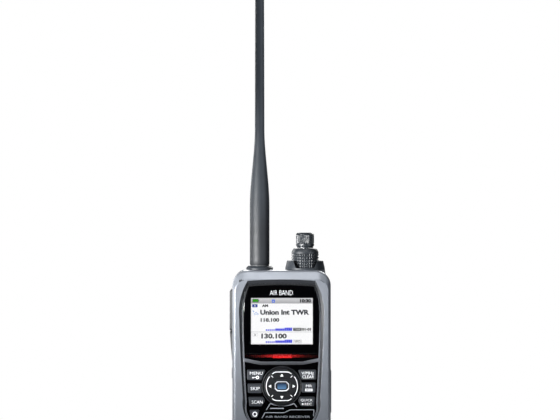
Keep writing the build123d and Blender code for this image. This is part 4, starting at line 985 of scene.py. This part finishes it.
def row_of_bars(name, body, finish, places, x_edges, y_edges, height):
    """Row of low bars with chamfered edges, at the heights given. The finish is also the slot."""
    bars = bmesh.new()
    for z in places:
        for vertex in bmesh.ops.create_cube(bars, size=1.0)["verts"]:
            x, y, up = vertex.co.x > 0, vertex.co.y > 0, vertex.co.z > 0
            vertex.co = (x_edges[x] * MM, y_edges[y] * MM, (z + (height / 2 if up else -height / 2)) * MM)
    bmesh.ops.bevel(bars, geom=bars.edges[:], offset=0.12 * MM, segments=2, affect="EDGES", profile=0.5)
    mesh = bpy.data.meshes.new(name)
    bars.to_mesh(mesh)
    bars.free()
    return smooth(finish_piece(mesh, name, finish, body), 50)


function_low, function_high = corners("function_key")
key_y = (function_low.y + function_high.y) / 2
key_face = function_low.x
lamp_face = corners("lamp_key")[0].x
row_of_bars("function_grip", "function_key", "black_plastic", [112.5 + 2.2 * i for i in range(7)],
            (key_face - 0.005, key_face + 0.3), (key_y - 3.4, key_y + 3.4), 1.1)
row_of_bars("lamp_grip", "lamp_key", "black_rubber", [81.2, 82.2, 83.2],
            (lamp_face - 0.15, lamp_face + 0.25), (key_y - 1.5, key_y + 1.5), 0.45)

pack_low, pack_high = corners("pack_case")
pack_back = pack_high.y
grip_from_edge, grip_width = 1.6, 4.6
for side, edge, inwards in (("left", pack_low.x, 1), ("right", pack_high.x, -1)):
    start = edge + inwards * grip_from_edge
    x_edges = sorted((start, start + inwards * grip_width))
    row_of_bars("pack_grip_" + side, "battery_pack", "black_plastic", [58.0 + 2.4 * i for i in range(18)],
                x_edges, (pack_back - 0.4, pack_back + 0.35), 1.0)


def back_plate(loops, height, round_edge=0.0):
    """Plate on the back of the battery pack, from loops as seen from the front."""
    return outline_mesh(loops, pack_back - 0.02, pack_back + height, round_edge)


label_mesh = back_plate([rectangle(-17, 17, 17.5, 38.5, 1.2)], 0.06, 0.02)
finish_piece(label_mesh, "pack_label", "label_film", "battery_pack")
label_marks = [
    [rectangle(-16.2, 16.2, 18.3, 37.7, 0.8), rectangle(-15.9, 15.9, 18.6, 37.4, 0.6)],
    [rectangle(-13.5, -9.1, 26.6, 27.4)],
    [rectangle(-11.7, -10.9, 24.8, 29.2)],
    [rectangle(9.1, 13.5, 26.6, 27.4)],
    [circle(-11.3, 27.0, 3.6, 40), circle(-11.3, 27.0, 3.25, 40)],
    [circle(11.3, 27.0, 3.6, 40), circle(11.3, 27.0, 3.25, 40)],
    [rectangle(-6.2, 5.2, 23.6, 30.4, 0.8), rectangle(-5.8, 4.8, 24.0, 30.0, 0.5)],
    [rectangle(5.2, 6.2, 25.6, 28.4, 0.3)],
]
label_marks += [[rectangle(-5.2 + 2.5 * i, -3.4 + 2.5 * i, 24.6, 29.4, 0.2)] for i in range(4)]
label_marks += [[rectangle(-13.5, 13.5, z, z + 0.45)] for z in (20.0, 21.2, 34.2, 35.4)]
marks_mesh = merged([back_plate(loops, 0.09) for loops in label_marks])
finish_piece(marks_mesh, "label_marks", "black_plastic", "battery_pack")


# ---- antenna

thick_radius, thin_radius, tip_radius = 5.85, 2.85, 2.6
taper_low, taper_high = 180, 226


def sleeve_radius(z):
    """Radius of the antenna's moulded sleeve at a height."""
    if z < taper_low:
        return thick_radius
    if z < taper_high:
        t = (taper_high - z) / (taper_high - taper_low)
        return thin_radius + (thick_radius - thin_radius) * (3 * t ** 2 - 2 * t ** 3) ** 0.93
    return thin_radius + (tip_radius - thin_radius) * (z - taper_high) / 120


sleeve_rows = [(4.6, sleeve_low.z), (5.35, sleeve_low.z), (5.6, sleeve_low.z + 0.12),
               (thick_radius, sleeve_low.z + 0.5)]
sleeve_rows += [(sleeve_radius(z), z) for z in range(149, 345, 2)]
for degrees in range(0, 90, 9):
    angle = math.radians(degrees)
    sleeve_rows.append((tip_radius * math.cos(angle),
                        sleeve_high.z - tip_radius + tip_radius * math.sin(angle)))
sleeve_mesh = turned(sleeve_rows, 128, antenna_x)
sleeve_skin = finish_piece(sleeve_mesh, "antenna_skin", "antenna_slate", "antenna",
                           ["antenna_sleeve"])
smooth(sleeve_skin, 40)


# ---- stage, lights and camera, in metres

floor_radius = 0.34
floor_mesh = bpy.data.meshes.new("floor")
disc = bmesh.new()
bmesh.ops.create_circle(disc, cap_ends=True, radius=floor_radius, segments=96)
disc.to_mesh(floor_mesh)
disc.free()
floor = bpy.data.objects.new("floor", floor_mesh)
bpy.context.scene.collection.objects.link(floor)
floor.location = (0, 0, -0.0002)
floor_paint = moulded("floor_paint", (0.78, 0.78, 0.78), rough=0.75, grain=1.5, depth=0.02, mottle=0.01)
floor_mesh.materials.append(floor_paint)


def add_light(name, kind, place, target, power):
    """Light that faces a target."""
    light = bpy.data.lights.new(name, kind)
    light.energy = power
    lamp = bpy.data.objects.new(name, light)
    bpy.context.scene.collection.objects.link(lamp)
    lamp.location = place
    lamp.rotation_euler = (Vector(target) - Vector(place)).to_track_quat("-Z", "Y").to_euler()
    return light


def softbox(name, place, target, size, power, colour=(1.0, 1.0, 1.0)):
    """Area light of a width and a height that faces a target."""
    light = add_light(name, "AREA", place, target, power)
    light.shape = "RECTANGLE"
    light.size, light.size_y = size
    light.color = colour


cool = (0.88, 0.94, 1.0)
tall_box = (0.22, 0.70)
softbox("left_box", (-0.80, -0.60, 0.30), (0, 0, 0.20), tall_box, 2.8, cool)
softbox("right_box", (0.77, -0.64, 0.36), (0, 0, 0.22), tall_box, 7.0, cool)
softbox("top_box", (0.02, -0.55, 0.95), (0, 0, 0.14), (0.60, 0.22), 3.8)
softbox("back_left_box", (-0.75, 0.6, 0.35), (0, 0, 0.12), (0.3, 0.6), 5.0)
softbox("back_box", (0.15, 0.85, 0.65), (0, 0, 0.12), (0.7, 0.5), 14.0)

# Soft-edged spot on the upper part of the case, so that the grey gets darker towards the foot
spot = add_light("case_spot", "SPOT", (-0.66, -0.66, 0.13), (-0.012, -0.0154, 0.132), 310.0)
spot.spot_size = math.radians(10.0)
spot.spot_blend = 1.0
spot.shadow_soft_size = 0.06

# White to the camera, and a dim sky that is lighter above and behind to everything else
world = bpy.data.worlds.new("studio")
world.use_nodes = True
tree = world.node_tree
background = tree.nodes["Background"]
background.inputs["Color"].default_value = (1.0, 1.0, 1.0, 1.0)
background.inputs["Strength"].default_value = 1.0
direction = tree.nodes.new("ShaderNodeTexCoord")
split = tree.nodes.new("ShaderNodeSeparateXYZ")
tree.links.new(direction.outputs["Generated"], split.inputs[0])
sky = remap(tree, split.outputs[2], 0.05, 0.9, 0.01, 0.12)
rear = remap(tree, split.outputs[1], -0.2, 0.9, 0.0, 0.09)
total = tree.nodes.new("ShaderNodeMath")
total.operation = "ADD"
tree.links.new(sky, total.inputs[0])
tree.links.new(rear, total.inputs[1])
dim = tree.nodes.new("ShaderNodeBackground")
tree.links.new(total.outputs[0], dim.inputs["Strength"])
rays = tree.nodes.new("ShaderNodeLightPath")
pick = tree.nodes.new("ShaderNodeMixShader")
tree.links.new(rays.outputs["Is Camera Ray"], pick.inputs[0])
tree.links.new(dim.outputs[0], pick.inputs[1])
tree.links.new(background.outputs[0], pick.inputs[2])
tree.links.new(pick.outputs[0], tree.nodes["World Output"].inputs["Surface"])
bpy.context.scene.world = world
bpy.context.scene.view_settings.view_transform = "Standard"
bpy.context.scene.view_settings.look = "None"

camera_x = -0.0009
camera_height = 0.1784
camera_distance = 0.9
frame_width = 0.3276
camera_data = bpy.data.cameras.new("camera")
camera_data.sensor_width = 36.0
camera_data.lens = camera_data.sensor_width * camera_distance / frame_width
camera = bpy.data.objects.new("camera", camera_data)
bpy.context.scene.collection.objects.link(camera)
camera.location = (camera_x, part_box("front_case")[0].y - camera_distance, camera_height)
camera.rotation_euler = (math.pi / 2, 0, 0)
bpy.context.scene.camera = camera
